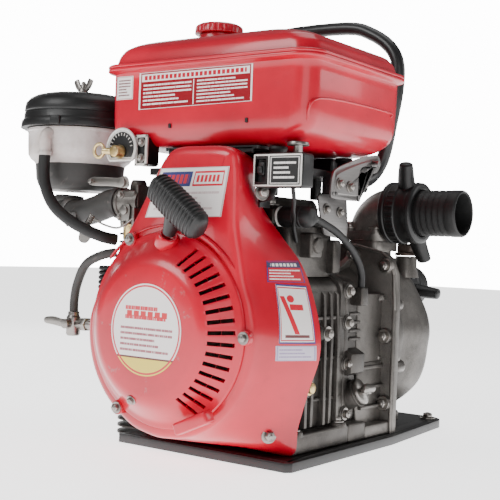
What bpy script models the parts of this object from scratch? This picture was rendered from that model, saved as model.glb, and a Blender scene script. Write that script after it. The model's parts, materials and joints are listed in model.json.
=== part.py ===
"""Small gasoline engine driving a two-inch water pump, on one base plate.

Frame: X points right across the starter side, Y runs from the starter to the pump, Z is up.
The origin lies on the underside of the base plate, on its centre line.
Sizes below are in millimetres; every mesh is built in metres.
"""
import math

import bmesh
import bpy
from mathutils import Matrix, Vector

MM = 0.001
GAP = 0.3                        # clearance between touching pieces
SHARP_ANGLE = math.radians(35)
ROUNDNESS = 0.6                  # share of each round piece's nominal side count

# base plate
PLATE_TOP = 10.0
PLATE_FRONT_Y = -215.0
PLATE_REAR_Y = 172.0
PLATE_FRONT_HALF = 110.0
PLATE_REAR_HALF = 90.0

# crank line, along Y
CRANK_X = -10.0
CRANK_Z = 130.0
THROW = 23.0                     # half of the 46 mm stroke
SHAFT_R = 12.5
CRANK_GEAR_R = 14.5              # pitch radii of the timing pair, two to one
CAM_GEAR_R = 29.5

# crankcase and cylinder
CASE_FRONT_Y = -187.0
CASE_REAR_Y = -80.0
COVER_REAR_Y = -44.0
CASE_LEFT_X = -92.0
CASE_RIGHT_X = 82.0
CASE_TOP_Z = 186.0
WALL = 11.0
BORE_Y = -125.0
BORE_R = 30.3
CYLINDER_TOP_Z = 238.0
HEAD_TOP_Z = 268.0
WRIST_Z = 176.0                  # wrist pin height at bottom dead centre
VALVE_X = -58.0
VALVE_YS = (-141.0, -109.0)
CAM_X = -50.0
CAM_Z = 110.0

# shroud and recoil starter
SHROUD_FRONT_Y = -262.0
SHROUD_REAR_Y = -187.5
SHEET = 2.5
STARTER_FRONT_Y = -292.0
STARTER_R = 97.0
ROPE_EXIT = (-3.0, -275.0, 217.0)
PULL_AXIS = (0.58, -0.35, 0.74)
GRIP_CENTRE = (24.0, -292.0, 250.0)
GRIP_AXIS = (0.81, 0.0, -0.587)

# fuel tank
TANK_LEFT_X = -145.0
TANK_RIGHT_X = 119.0
TANK_FRONT_Y = -219.0
TANK_REAR_Y = -30.0
TANK_BOTTOM_Z = 316.0
TANK_SEAM_Z = 402.0
NECK_TOP_Z = 447.3
CAP_X = -58.0
CAP_Y = -135.0

# pump
FLANGE_Y = 10.0
FLANGE_THICK = 12.0
CASING_FRONT_Y = FLANGE_Y + FLANGE_THICK + GAP
CASING_REAR_Y = 122.0
PORT_R = 22.0
OUTLET_Y = 68.0
OUTLET_Z = 263.0
OUTLET_BEND = 30.0
OUTLET_LEAD = 4.0                # straight length between the bend and the face
OUTLET_FACE_X = 62.0
OUTLET_RISE_X = OUTLET_FACE_X - OUTLET_LEAD - OUTLET_BEND
INLET_X = 15.0
INLET_Z = 172.0
INLET_FACE_Y = 134.0
HOSE_R = 27.0

# air cleaner and fuel system
CLEANER_X = -222.0
CLEANER_Y = -178.0
DIAL = (-114.0, -226.0, 315.0)
CARB = (-114.0, -195.0, 257.0)
COCK = (-205.0, -196.0, 128.0)
PLUG_Y = -168.0
PLUG_Z = 247.0
SWITCH_LO = (69.0, -236.0, 272.0)
SWITCH_HI = (126.0, -216.0, 304.0)

RED = (0.62, 0.0, 0.02)
SILVER = (0.42, 0.40, 0.38)
BRIGHT = (0.62, 0.61, 0.60)
BLACK = (0.02, 0.02, 0.022)
BRASS = (0.62, 0.48, 0.22)
WHITE = (0.70, 0.68, 0.66)


# ---------------------------------------------------------------- helpers

def make(name, mesh_maker, colour, roughness=0.4, metallic=0.0):
    """Link one named object with its own material; mesh_maker fills a bmesh in millimetres."""
    bm = bmesh.new()
    mesh_maker(bm)
    bmesh.ops.remove_doubles(bm, verts=bm.verts, dist=0.001)
    bmesh.ops.recalc_face_normals(bm, faces=bm.faces)
    bmesh.ops.scale(bm, vec=(MM, MM, MM), verts=bm.verts)
    mesh = bpy.data.meshes.new(name)
    bm.to_mesh(mesh)
    bm.free()
    piece = bpy.data.objects.new(name, mesh)
    bpy.context.collection.objects.link(piece)
    surface = bpy.data.materials.new(name + "_finish")
    surface.use_nodes = True
    shader = surface.node_tree.nodes["Principled BSDF"]
    shader.inputs["Base Color"].default_value = (*colour, 1.0)
    shader.inputs["Roughness"].default_value = roughness
    shader.inputs["Metallic"].default_value = metallic
    mesh.materials.append(surface)
    soften(piece)
    return piece


def soften(piece):
    piece.data.shade_smooth()
    piece.data.set_sharp_from_angle(angle=SHARP_ANGLE)


def combine(piece, tool, operation):
    """Apply one exact Boolean and delete the tool."""
    modifier = piece.modifiers.new("combine", 'BOOLEAN')
    modifier.operation = operation
    modifier.solver = 'EXACT'
    modifier.object = tool
    graph = bpy.context.evaluated_depsgraph_get()
    mesh = bpy.data.meshes.new_from_object(piece.evaluated_get(graph))
    piece.modifiers.clear()
    piece.data = mesh
    bpy.data.objects.remove(tool)
    while len(mesh.materials) > 1:
        mesh.materials.pop()
    soften(piece)


def add(piece, mesh_maker):
    combine(piece, make("joined_tool", mesh_maker, SILVER), 'UNION')


def cut(piece, mesh_maker):
    combine(piece, make("cutting_tool", mesh_maker, SILVER), 'DIFFERENCE')


def set_origin(piece, point):
    """Put a moving piece's origin on its joint."""
    shift = Vector(point) * MM
    piece.data.transform(Matrix.Translation(-shift))
    piece.location = shift


def bridge(bm, rings, closed=False, caps=True):
    """Skin rings of equal length; closed joins the last ring to the first one."""
    loops = [[bm.verts.new(p) for p in ring] for ring in rings]
    pairs = list(zip(loops, loops[1:]))
    if closed:
        pairs.append((loops[-1], loops[0]))
    for low, high in pairs:
        count = len(low)
        for i in range(count):
            j = (i + 1) % count
            bm.faces.new((low[i], low[j], high[j], high[i]))
    if caps and not closed:
        bm.faces.new(loops[0])
        bm.faces.new(loops[-1][::-1])


def box(lo, hi, bevel=0.0):
    def fill(bm):
        size = [b - a for a, b in zip(lo, hi)]
        centre = [(a + b) / 2 for a, b in zip(lo, hi)]
        place = Matrix.Translation(centre) @ Matrix.Diagonal((*size, 1.0))
        bmesh.ops.create_cube(bm, size=1.0, matrix=place)
        if bevel:
            bmesh.ops.bevel(bm, geom=bm.edges[:], offset=bevel, segments=2, profile=0.5,
                            affect='EDGES')
    return fill


def frame_of(axis):
    """Two unit vectors square to an axis."""
    axis = Vector(axis).normalized()
    guide = Vector((0, 0, 1)) if abs(axis.z) < 0.9 else Vector((1, 0, 0))
    side = guide.cross(axis).normalized()
    return axis, side, axis.cross(side)


def turned(profile, centre, axis, sides=32):
    """Turn a closed profile of (along, radius); a radius of 0 lies on the axis."""
    axis, side, up = frame_of(axis)
    centre = Vector(centre)
    sides = max(8, 2 * round(sides * ROUNDNESS / 2))
    on_axis = profile[0][1] == 0

    def ring(along, radius):
        turn = [2 * math.pi * k / sides for k in range(sides)]
        return [centre + axis * along + (side * math.cos(t) + up * math.sin(t)) * radius
                for t in turn]

    def fill(bm):
        if on_axis:
            bridge(bm, [ring(a, r) for a, r in profile[1:-1]])
        else:
            bridge(bm, [ring(a, r) for a, r in profile], closed=True)
    return fill


def rod(start, end, radius, sides=24):
    start, end = Vector(start), Vector(end)
    length = (end - start).length
    return turned([(0, 0), (0, radius), (length, radius), (length, 0)], start, end - start, sides)


def prism(outline, axis, low, high):
    """Extrude a closed outline; axis 'y' takes (x, z) points and 'z' takes (x, y) points."""
    def place(point, level):
        if axis == 'y':
            return (point[0], level, point[1])
        if axis == 'x':
            return (level, point[0], point[1])
        return (point[0], point[1], level)

    def fill(bm):
        bridge(bm, [[place(p, low) for p in outline], [place(p, high) for p in outline]])
    return fill


def smooth_points(points, steps, closed=False):
    """Catmull-Rom curve through points, steps points on each stretch."""
    points = [Vector(p) for p in points]
    count = len(points)
    result = []
    stretches = count if closed else count - 1
    for i in range(stretches):
        if closed:
            p0, p1, p2, p3 = (points[(i + k - 1) % count] for k in range(4))
        else:
            p0 = points[max(i - 1, 0)]
            p1, p2 = points[i], points[i + 1]
            p3 = points[min(i + 2, count - 1)]
        for k in range(steps):
            t = k / steps
            result.append(0.5 * (2 * p1 + (p2 - p0) * t + (2 * p0 - 5 * p1 + 4 * p2 - p3) * t * t
                                 + (3 * p1 - p0 - 3 * p2 + p3) * t ** 3))
    if not closed:
        result.append(points[-1])
    return result


def swept(path, radius, sides=12, bore=0.0):
    """Round tube or rod along a path; radius may be one value or one for each point."""
    path = [Vector(p) for p in path]
    sides = max(8, 2 * round(sides * ROUNDNESS / 2))
    radii = radius if isinstance(radius, (list, tuple)) else [radius] * len(path)

    def rings(offsets):
        result = []
        side = None
        for i, point in enumerate(path):
            ahead = path[min(i + 1, len(path) - 1)] - path[max(i - 1, 0)]
            ahead.normalize()
            if side is None:
                side = frame_of(ahead)[1]
            side = (side - ahead * side.dot(ahead)).normalized()
            up = ahead.cross(side)
            result.append([point + (side * math.cos(t) + up * math.sin(t)) * offsets[i]
                           for t in (2 * math.pi * k / sides for k in range(sides))])
        return result

    def fill(bm):
        outer = rings(radii)
        if bore:
            inner = rings([bore] * len(path))
            bridge(bm, outer + inner[::-1], closed=True)
        else:
            bridge(bm, outer)
    return fill


def round_rect(x0, x1, y0, y1, radius, steps=3):
    """Rounded rectangle as a list of (x, y)."""
    points = []
    corners = ((x1 - radius, y1 - radius, 0), (x0 + radius, y1 - radius, 90),
               (x0 + radius, y0 + radius, 180), (x1 - radius, y0 + radius, 270))
    for cx, cy, start in corners:
        for k in range(steps + 1):
            angle = math.radians(start + 90 * k / steps)
            points.append((cx + radius * math.cos(angle), cy + radius * math.sin(angle)))
    return points


def inset(outline, distance):
    """Move a counter-clockwise outline inwards along its normals."""
    moved = []
    count = len(outline)
    for i, point in enumerate(outline):
        before, after = outline[i - 1], outline[(i + 1) % count]
        dx, dy = after[0] - before[0], after[1] - before[1]
        length = math.hypot(dx, dy)
        moved.append((point[0] - dy / length * distance, point[1] + dx / length * distance))
    return moved


def polar(centre_x, centre_z, radius, angle):
    a = math.radians(angle)
    return centre_x + radius * math.cos(a), centre_z + radius * math.sin(a)


# ---------------------------------------------------------------- base and engine block

def base_plate():
    corner = 26.0
    outline = [(-PLATE_FRONT_HALF, PLATE_FRONT_Y), (PLATE_FRONT_HALF - 5, PLATE_FRONT_Y),
               (PLATE_FRONT_HALF, PLATE_FRONT_Y + 6), (PLATE_FRONT_HALF - 4, 0)]
    for side, start in ((1, 0), (-1, 90)):
        for k in range(7):
            angle = math.radians(start + 90 * k / 6)
            outline.append((side * (PLATE_REAR_HALF - corner) + corner * math.cos(angle),
                            PLATE_REAR_Y - corner + corner * math.sin(angle)))
    outline.append((-PLATE_FRONT_HALF + 4, 0))
    make("base_plate", prism(outline, 'z', 0, PLATE_TOP), BLACK, 0.45)


def crankcase():
    foot = PLATE_TOP + GAP
    front, rear = CASE_FRONT_Y, CASE_REAR_Y
    case = make("crankcase", prism(round_rect(CASE_LEFT_X, CASE_RIGHT_X, 20, CASE_TOP_Z, 18),
                                   'y', front, rear), SILVER, 0.5, 0.8)
    add(case, box((-97, front, foot), (95, rear, 30)))
    for y in (-146, -98):
        add(case, box((CASE_RIGHT_X - 4, y, 24), (CASE_RIGHT_X + 7, y + 7, 168), 1.5))
    cut(case, box((CASE_LEFT_X + WALL - 3, front + WALL, 34),
                  (CASE_RIGHT_X - WALL - 1, rear + 10, CASE_TOP_Z - WALL - 3)))
    cut(case, rod((CRANK_X, BORE_Y, 165), (CRANK_X, BORE_Y, 200), BORE_R, 32))
    cut(case, rod((CRANK_X, front - 10, CRANK_Z), (CRANK_X, front + 30, CRANK_Z), SHAFT_R + 1))
    for y in VALVE_YS:
        cut(case, rod((VALVE_X, y, 160), (VALVE_X, y, 200), 7, 16))


def crankcase_cover():
    foot = PLATE_TOP + GAP
    front, rear = CASE_REAR_Y + GAP, COVER_REAR_Y
    cover = make("crankcase_cover", prism(round_rect(CASE_LEFT_X, CASE_RIGHT_X, 20, CASE_TOP_Z, 18),
                                          'y', front, rear), SILVER, 0.5, 0.8)
    add(cover, box((-97, front, foot), (95, rear, 30)))
    add(cover, rod((70, -62, 52), (92, -58, 62), 14, 20))
    add(cover, box((CASE_RIGHT_X - 4, -62, 156), (CASE_RIGHT_X + 13, -48, 176)))
    cut(cover, box((CASE_LEFT_X + WALL - 3, front - 10, 34),
                   (CASE_RIGHT_X - WALL - 1, rear - WALL, CASE_TOP_Z - WALL - 3)))
    cut(cover, rod((CRANK_X, front, CRANK_Z), (CRANK_X, rear + 10, CRANK_Z), SHAFT_R + 1))


def cylinder():
    block = make("cylinder", prism(round_rect(-118, 70, -166, -82, 12), 'z',
                                   CASE_TOP_Z + GAP, CYLINDER_TOP_Z), SILVER, 0.55, 0.75)
    for k in range(5):
        z = 192 + 9 * k
        add(block, prism(round_rect(-160, 54, -177, -72, 22), 'z', z, z + 3.5))
    cut(block, rod((CRANK_X, BORE_Y, 170), (CRANK_X, BORE_Y, 250), BORE_R, 32))
    for y in VALVE_YS:
        cut(block, rod((VALVE_X, y, 170), (VALVE_X, y, 250), 3.5, 12))
        cut(block, rod((VALVE_X, y, CYLINDER_TOP_Z - 4.5), (VALVE_X, y, 250), 13.5, 20))


def cylinder_head():
    low = CYLINDER_TOP_Z + GAP
    head = make("cylinder_head", prism(round_rect(-100, 56, -180, -78, 14), 'z', low, low + 14),
                SILVER, 0.55, 0.75)
    for k in range(7):
        x = -92 + 22 * k
        add(head, box((x, -176, low + 10), (x + 5, -82, HEAD_TOP_Z)))
    add(head, box((30, -180, low + 1), (56, -154, low + 17), 1.0))
    chamber = prism(round_rect(-76, 24, -158, -92, 26), 'z', low - 5, low + 8)
    cut(head, chamber)


def crankshaft():
    """Built up in two halves, whose crank pin stays clear of the connecting rod."""
    web_r, pin_r = 33.0, 9.0
    front_web = (-150.0, -138.0)
    rear_web = (-112.0, -100.0)

    def shaft(name, profile, web, pin_from, pin_to):
        piece = make(name, turned(profile, (CRANK_X, 0, CRANK_Z), (0, 1, 0), 24),
                     BRIGHT, 0.25, 1.0)
        add(piece, rod((CRANK_X, web[0], CRANK_Z), (CRANK_X, web[1], CRANK_Z), web_r, 28))
        pin_z = CRANK_Z - THROW
        add(piece, rod((CRANK_X, pin_from, pin_z), (CRANK_X, pin_to, pin_z), pin_r, 20))
        return piece

    front = [(-266, 0), (-266, 7), (-230.5, 7), (-200, SHAFT_R), (web_mid(front_web), SHAFT_R),
             (web_mid(front_web), 0)]
    rear = [(web_mid(rear_web), 0), (web_mid(rear_web), SHAFT_R), (-8, SHAFT_R), (-8, 9), (84, 9),
            (84, 0)]
    front_half = shaft("crankshaft_front", front, front_web, -140, -134)
    set_origin(front_half, (CRANK_X, web_mid(front_web), CRANK_Z))
    rear_half = shaft("crankshaft_rear", rear, rear_web, -116, -110)
    add(rear_half, rod((CRANK_X, -97, CRANK_Z), (CRANK_X, -89, CRANK_Z), CRANK_GEAR_R, 28))
    set_origin(rear_half, (CRANK_X, web_mid(rear_web), CRANK_Z))


def web_mid(web):
    return sum(web) / 2


def camshaft():
    shaft = make("camshaft", turned([(-174, 0), (-174, 6), (-152, 6), (-152, 4), (-100, 4),
                                     (-97, 6), (-97, CAM_GEAR_R), (-89, CAM_GEAR_R), (-89, 6),
                                     (-60, 6), (-60, 0)],
                                    (CAM_X, 0, CAM_Z), (0, 1, 0), 24), BRIGHT, 0.35, 1.0)
    for y in VALVE_YS:
        side = 1 if y > BORE_Y else -1
        add(shaft, rod((CAM_X + 3 * side, y - 5, CAM_Z), (CAM_X + 3 * side, y + 5, CAM_Z), 9, 20))
    set_origin(shaft, (CAM_X, -120, CAM_Z))


def piston_set():
    crown = WRIST_Z + 18
    skirt = WRIST_Z - 9
    piston = make("piston", turned([(skirt, 29.9), (skirt, 26), (crown - 6, 26), (crown - 6, 0.5),
                                    (crown, 0.5), (crown, 29.9)],
                                   (CRANK_X, BORE_Y, 0), (0, 0, 1), 32), BRIGHT, 0.35, 0.9)
    add(piston, rod((CRANK_X, BORE_Y, crown - 5), (CRANK_X, BORE_Y, crown), 3, 12))
    for side in (-1, 1):
        y = BORE_Y + side * 19.5
        add(piston, box((CRANK_X - 9, y - 8, WRIST_Z - 8), (CRANK_X + 9, y + 8, crown - 3)))
    cut(piston, rod((CRANK_X, BORE_Y - 40, WRIST_Z), (CRANK_X, BORE_Y + 40, WRIST_Z), 6.3, 20))
    set_origin(piston, (CRANK_X, BORE_Y, WRIST_Z))
    pin = make("wrist_pin", rod((CRANK_X, BORE_Y - 26, WRIST_Z), (CRANK_X, BORE_Y + 26, WRIST_Z),
                                6, 20), BRIGHT, 0.2, 1.0)
    set_origin(pin, (CRANK_X, BORE_Y, WRIST_Z))

    big_z = CRANK_Z - THROW
    link = make("connecting_rod", box((CRANK_X - 6, BORE_Y - 5, big_z + 8),
                                      (CRANK_X + 6, BORE_Y + 5, WRIST_Z - 8)), BRIGHT, 0.4, 0.9)
    add(link, rod((CRANK_X, BORE_Y - 8, big_z), (CRANK_X, BORE_Y + 8, big_z), 13, 24))
    add(link, rod((CRANK_X, BORE_Y - 8, WRIST_Z), (CRANK_X, BORE_Y + 8, WRIST_Z), 10, 20))
    cut(link, rod((CRANK_X, BORE_Y - 20, big_z), (CRANK_X, BORE_Y + 20, big_z), 9.5, 24))
    cut(link, rod((CRANK_X, BORE_Y - 20, WRIST_Z), (CRANK_X, BORE_Y + 20, WRIST_Z), 6.4, 20))
    set_origin(link, (CRANK_X, BORE_Y, WRIST_Z))


def valves():
    seat = CYLINDER_TOP_Z - 3.6
    for name, y in zip(("intake_valve", "exhaust_valve"), VALVE_YS):
        profile = [(150, 0), (150, 5), (154, 5), (154, 3), (seat - 0.5, 3), (seat + 0.3, 12.5),
                   (seat + 2.5, 12.5), (seat + 2.5, 0)]
        valve = make(name, turned(profile, (VALVE_X, y, 0), (0, 0, 1), 16), BRIGHT, 0.3, 1.0)
        set_origin(valve, (VALVE_X, y, seat))


# ---------------------------------------------------------------- flywheel, shroud and starter

def flywheel():
    blades = 14
    outline = []
    for k in range(blades):
        base = 360 * k / blades
        for offset, radius in ((0, 60), (5, 60), (9, 88), (13, 88)):
            outline.append(polar(CRANK_X, CRANK_Z, radius, base + offset))
    wheel = make("flywheel", prism(outline, 'y', -230, -214), (0.3, 0.3, 0.32), 0.5, 0.8)
    add(wheel, rod((CRANK_X, -215, CRANK_Z), (CRANK_X, -204, CRANK_Z), 88, 40))
    cut(wheel, rod((CRANK_X, -240, CRANK_Z), (CRANK_X, -190, CRANK_Z), SHAFT_R + GAP))
    set_origin(wheel, (CRANK_X, -217, CRANK_Z))

    cup = make("starter_cup", turned([(-231, 7.3), (-231, 44), (-262, 44), (-262, 41), (-235, 41),
                                      (-235, 7.3)], (CRANK_X, 0, CRANK_Z), (0, 1, 0), 28),
               (0.15, 0.15, 0.16), 0.5, 0.8)
    set_origin(cup, (CRANK_X, -240, CRANK_Z))


def shroud_outlines():
    front = [(-12, 22), (20, 27), (50, 42), (74, 66), (90, 98), (95, 130), (91, 156), (82, 180),
             (75, 208), (69, 235), (68, 264), (66, 292), (58, 308), (22, 311), (-14, 308),
             (-34, 285), (-55, 248), (-80, 209), (-104, 170), (-119, 132), (-114, 92), (-93, 57),
             (-60, 32), (-35, 24)]
    rear = [(-5, 12), (50, 12), (95, 12), (101, 40), (112, 78), (122, 108), (122, 135), (112, 170),
            (97, 200), (72, 227), (50, 252), (38, 275), (34, 304), (8, 308), (-22, 304),
            (-48, 275), (-75, 235), (-103, 195), (-124, 155), (-132, 120), (-125, 80), (-108, 40),
            (-96, 12), (-50, 12)]
    return ([(p.x, p.y) for p in smooth_points([(*p, 0) for p in line], 2, closed=True)]
            for line in (front, rear))


def towards_crank(outline, radius):
    """The points of a circle round the crank at the angles of an outline's points."""
    ring = []
    for x, z in outline:
        angle = math.atan2(z - CRANK_Z, x - CRANK_X)
        ring.append((CRANK_X + radius * math.cos(angle), CRANK_Z + radius * math.sin(angle)))
    return ring


def fan_shroud():
    front, rear = shroud_outlines()
    hole_r = 82.0
    sections = [(SHROUD_FRONT_Y, towards_crank(front, hole_r)), (SHROUD_FRONT_Y, inset(front, 9)),
                (SHROUD_FRONT_Y + 2.5, inset(front, 3)), (SHROUD_FRONT_Y + 9, front),
                (SHROUD_REAR_Y, rear), (SHROUD_REAR_Y, inset(rear, SHEET)),
                (SHROUD_FRONT_Y + 9, inset(front, SHEET)),
                (SHROUD_FRONT_Y + SHEET, inset(front, 9)),
                (SHROUD_FRONT_Y + SHEET, towards_crank(front, hole_r))]
    rings = [[(x, y, z) for x, z in line] for y, line in sections]
    make("fan_shroud", lambda bm: bridge(bm, rings, closed=True), RED, 0.25)

    plate = inset(rear, SHEET + 3.5)
    hole = towards_crank(plate, 30)
    levels = ((-190, plate), (-188.5, plate), (-188.5, hole), (-190, hole))
    back = [[(x, y, z) for x, z in line] for y, line in levels]
    make("shroud_back_plate", lambda bm: bridge(bm, back, closed=True), (0.1, 0.1, 0.1), 0.5)


def recoil_starter():
    y = STARTER_FRONT_Y
    profile = [(y, 0), (y, 64), (y + 2, 70.5), (y + 7, 75), (-269, 90), (-266.5, STARTER_R),
               (SHROUD_FRONT_Y - GAP, STARTER_R), (SHROUD_FRONT_Y - GAP, 89), (-265.3, 87),
               (y + 9, 72.5), (y + 4.5, 68.5), (y + SHEET, 63), (y + SHEET, 6.0),
               (-268, 6.0), (-268, 0)]
    case = make("recoil_case", turned(profile, (CRANK_X, 0, CRANK_Z), (0, 1, 0), 48), RED, 0.25)
    pull = Vector(PULL_AXIS).normalized()
    exit_point = Vector(ROPE_EXIT)
    add(case, rod(exit_point - pull * 5, exit_point + pull * 8, 10.5, 20))
    cut(case, rod(exit_point - pull * 20, exit_point + pull * 20, 7.5, 16))
    for k in range(17):
        angle = 62 - 7.6 * k
        x, z = polar(CRANK_X, CRANK_Z, 82, angle)
        cut(case, slot_cutter(x, -277, z, angle))

    make("recoil_spring", turned([(-288.5, 12), (-283.5, 12), (-283.5, 40), (-288.5, 40)],
                                          (CRANK_X, 0, CRANK_Z), (0, 1, 0), 28), BRIGHT, 0.3, 1.0)
    pulley = make("recoil_pulley", turned([(-282.5, 6.3), (-282.5, 46), (-279, 46), (-278, 40),
                                           (-275, 40), (-274, 46), (-270.5, 46), (-270.5, 6.3)],
                                          (CRANK_X, 0, CRANK_Z), (0, 1, 0), 28), BLACK, 0.5)
    set_origin(pulley, (CRANK_X, -276, CRANK_Z))


def slot_cutter(x, y, z, angle):
    """One cooling slot, a bar pointing out square to the sloping side."""
    def fill(bm):
        turn = Matrix.Rotation(-math.radians(angle), 4, 'Y')
        slope = Matrix.Rotation(math.radians(-42), 4, 'Z')
        place = Matrix.Translation((x, y, z)) @ turn @ slope
        bmesh.ops.create_cube(bm, size=1.0, matrix=place @ Matrix.Diagonal((14, 17, 3.8, 1.0)))
    return fill


def starter_grip():
    pull = Vector(PULL_AXIS).normalized()
    along = Vector(GRIP_AXIS).normalized()
    depth = along.cross(pull)
    centre = Vector(GRIP_CENTRE)
    half = 40.0
    rings = []
    for s, wide, deep in ((-1, 0.45, 0.5), (-0.9, 0.75, 0.8), (-0.5, 0.95, 1), (0, 1, 1),
                          (0.5, 0.95, 1), (0.9, 0.75, 0.8), (1, 0.45, 0.5)):
        ring = []
        for k in range(12):
            t = 2 * math.pi * (k + 0.5) / 12
            ring.append(centre + along * half * s + pull * (12.5 * wide * math.cos(t))
                        + depth * (11 * deep * math.sin(t)))
        rings.append(ring)
    grip = make("starter_grip", lambda bm: bridge(bm, rings), BLACK, 0.5)
    stem = [centre - pull * d for d in (6, 20, 34)]
    add(grip, swept(stem, [9, 7.2, 6.2], 14))
    set_origin(grip, GRIP_CENTRE)


# ---------------------------------------------------------------- fuel tank and handle

def tank_section(z, left, right, front, rear, radius):
    return [(x, y, z) for x, y in round_rect(TANK_LEFT_X + left, TANK_RIGHT_X - right,
                                             TANK_FRONT_Y + front, TANK_REAR_Y - rear, radius, 4)]


def fuel_tank():
    seam = TANK_SEAM_Z
    lip = -7
    outer = [(TANK_BOTTOM_Z, 34, 46, 26, 26, 14), (TANK_BOTTOM_Z + 3, 20, 32, 13, 13, 18),
             (TANK_BOTTOM_Z + 11, 7, 14, 4, 4, 20), (TANK_BOTTOM_Z + 22, 2, 4, 1, 1, 21),
             (seam - 5, 0, 0, 0, 0, 22), (seam - 4, lip, lip, lip, lip, 27),
             (seam, lip, lip, lip, lip, 27)]
    inner = [(seam, SHEET, SHEET, SHEET, SHEET, 20),
             (TANK_BOTTOM_Z + 22, 5, 7, 4, 4, 19), (TANK_BOTTOM_Z + 12, 11, 18, 8, 8, 18),
             (TANK_BOTTOM_Z + 3.5, 34, 46, 28, 28, 14)]
    rings = [tank_section(*row) for row in outer + inner]
    make("fuel_tank_lower", lambda bm: bridge(bm, rings), RED, 0.2)

    low = seam + GAP
    shell = [(low, lip, lip, lip, lip, 27), (low + 4, lip, lip, lip, lip, 27),
             (low + 5, 1, 1, 1, 1, 22), (low + 14, 4, 4, 2.5, 3, 22),
             (low + 22, 10, 12, 7, 8, 22), (low + 28, 22, 30, 16, 20, 24),
             (low + 34, 46, 60, 38, 42, 26), (low + 37, 70, 84, 56, 60, 26)]
    hollow = [(low + 34, 70, 84, 56, 60, 26), (low + 31, 48, 62, 40, 44, 26),
              (low + 24.5, 24, 32, 18, 22, 24), (low + 11, 8, 8, 6, 6, 20),
              (low, SHEET, SHEET, SHEET, SHEET, 20)]
    upper_rings = [tank_section(*row) for row in shell + hollow]

    def fill(bm):
        bridge(bm, upper_rings[:len(shell)], caps=False)
        bridge(bm, upper_rings[len(shell):], caps=False)
        bridge(bm, [upper_rings[0], upper_rings[-1]], caps=False)
        bm.faces.new([bm.verts.new(p) for p in upper_rings[len(shell) - 1]])
        bm.faces.new([bm.verts.new(p) for p in upper_rings[len(shell)]])
    upper = make("fuel_tank_upper", fill, RED, 0.2)
    add(upper, rod((CAP_X, CAP_Y, low + 35.5), (CAP_X, CAP_Y, NECK_TOP_Z), 21, 28))
    cut(upper, rod((CAP_X, CAP_Y, low + 20), (CAP_X, CAP_Y, NECK_TOP_Z + 20), 17, 28))

    cap_low = NECK_TOP_Z + GAP
    cap = make("fuel_cap", turned([(cap_low - 12, 0), (cap_low - 12, 16), (cap_low, 16),
                                   (cap_low, 27), (cap_low + 9, 26), (cap_low + 12, 21),
                                   (cap_low + 12, 0)], (CAP_X, CAP_Y, 0), (0, 0, 1), 32),
               RED, 0.25)
    set_origin(cap, (CAP_X, CAP_Y, cap_low))


def tank_support():
    deck = 290.0
    support = make("tank_support", box((-112, -186, deck), (84, -58, deck + 8)), BLACK, 0.5)
    add(support, box((-69, -185.5, deck + 2), (59, -182, 314)))
    add(support, box((-70, -212, 312.4), (60, -180, TANK_BOTTOM_Z - GAP)))
    add(support, box((-70, -72, deck + 2), (60, -60, TANK_BOTTOM_Z - GAP)))
    cut(support, box((-84, -170, deck - 10), (56, -92, deck + 20)))
    for x in (-92, 44):
        add(support, box((x, -180, HEAD_TOP_Z + GAP), (x + 8, -166.5, deck + 4)))
        add(support, box((x, -96, HEAD_TOP_Z + GAP), (x + 8, -84, deck + 4)))
    add(support, box((79, -128, 272), (93.7, -84, deck + 6)))


def handle():
    middle = (TANK_LEFT_X + TANK_RIGHT_X) / 2
    right = [(78, -50, 290), (78, -30, 295), (80, -15, 306), (85, -8, 325), (92, -8, 360),
             (98, -8, 395), (98, -8, 425), (87, -8, 446), (62, -8, 463), (30, -8, 472)]
    left = [(2 * middle - x, y, z) for x, y, z in right[::-1]]
    make("carry_handle", swept(smooth_points(right + left, 2), 7.5, 14), BLACK, 0.4)
    outline = [(-136, 272), (-128, 268), (-82, 268), (-77, 272), (-76, 297), (-62, 299),
               (-45, 301), (-37, 308), (-36, 315), (-42, 320), (-52, 319.5), (-76, 315),
               (-100, 308), (-124, 300), (-134, 292)]
    bracket = make("handle_bracket", prism(outline, 'x', 94, 97), BRIGHT, 0.45, 0.8)
    cut(bracket, rod((86, -54, 310), (105, -54, 310), 3.2, 12))


# ---------------------------------------------------------------- air cleaner and carburettor

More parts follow.
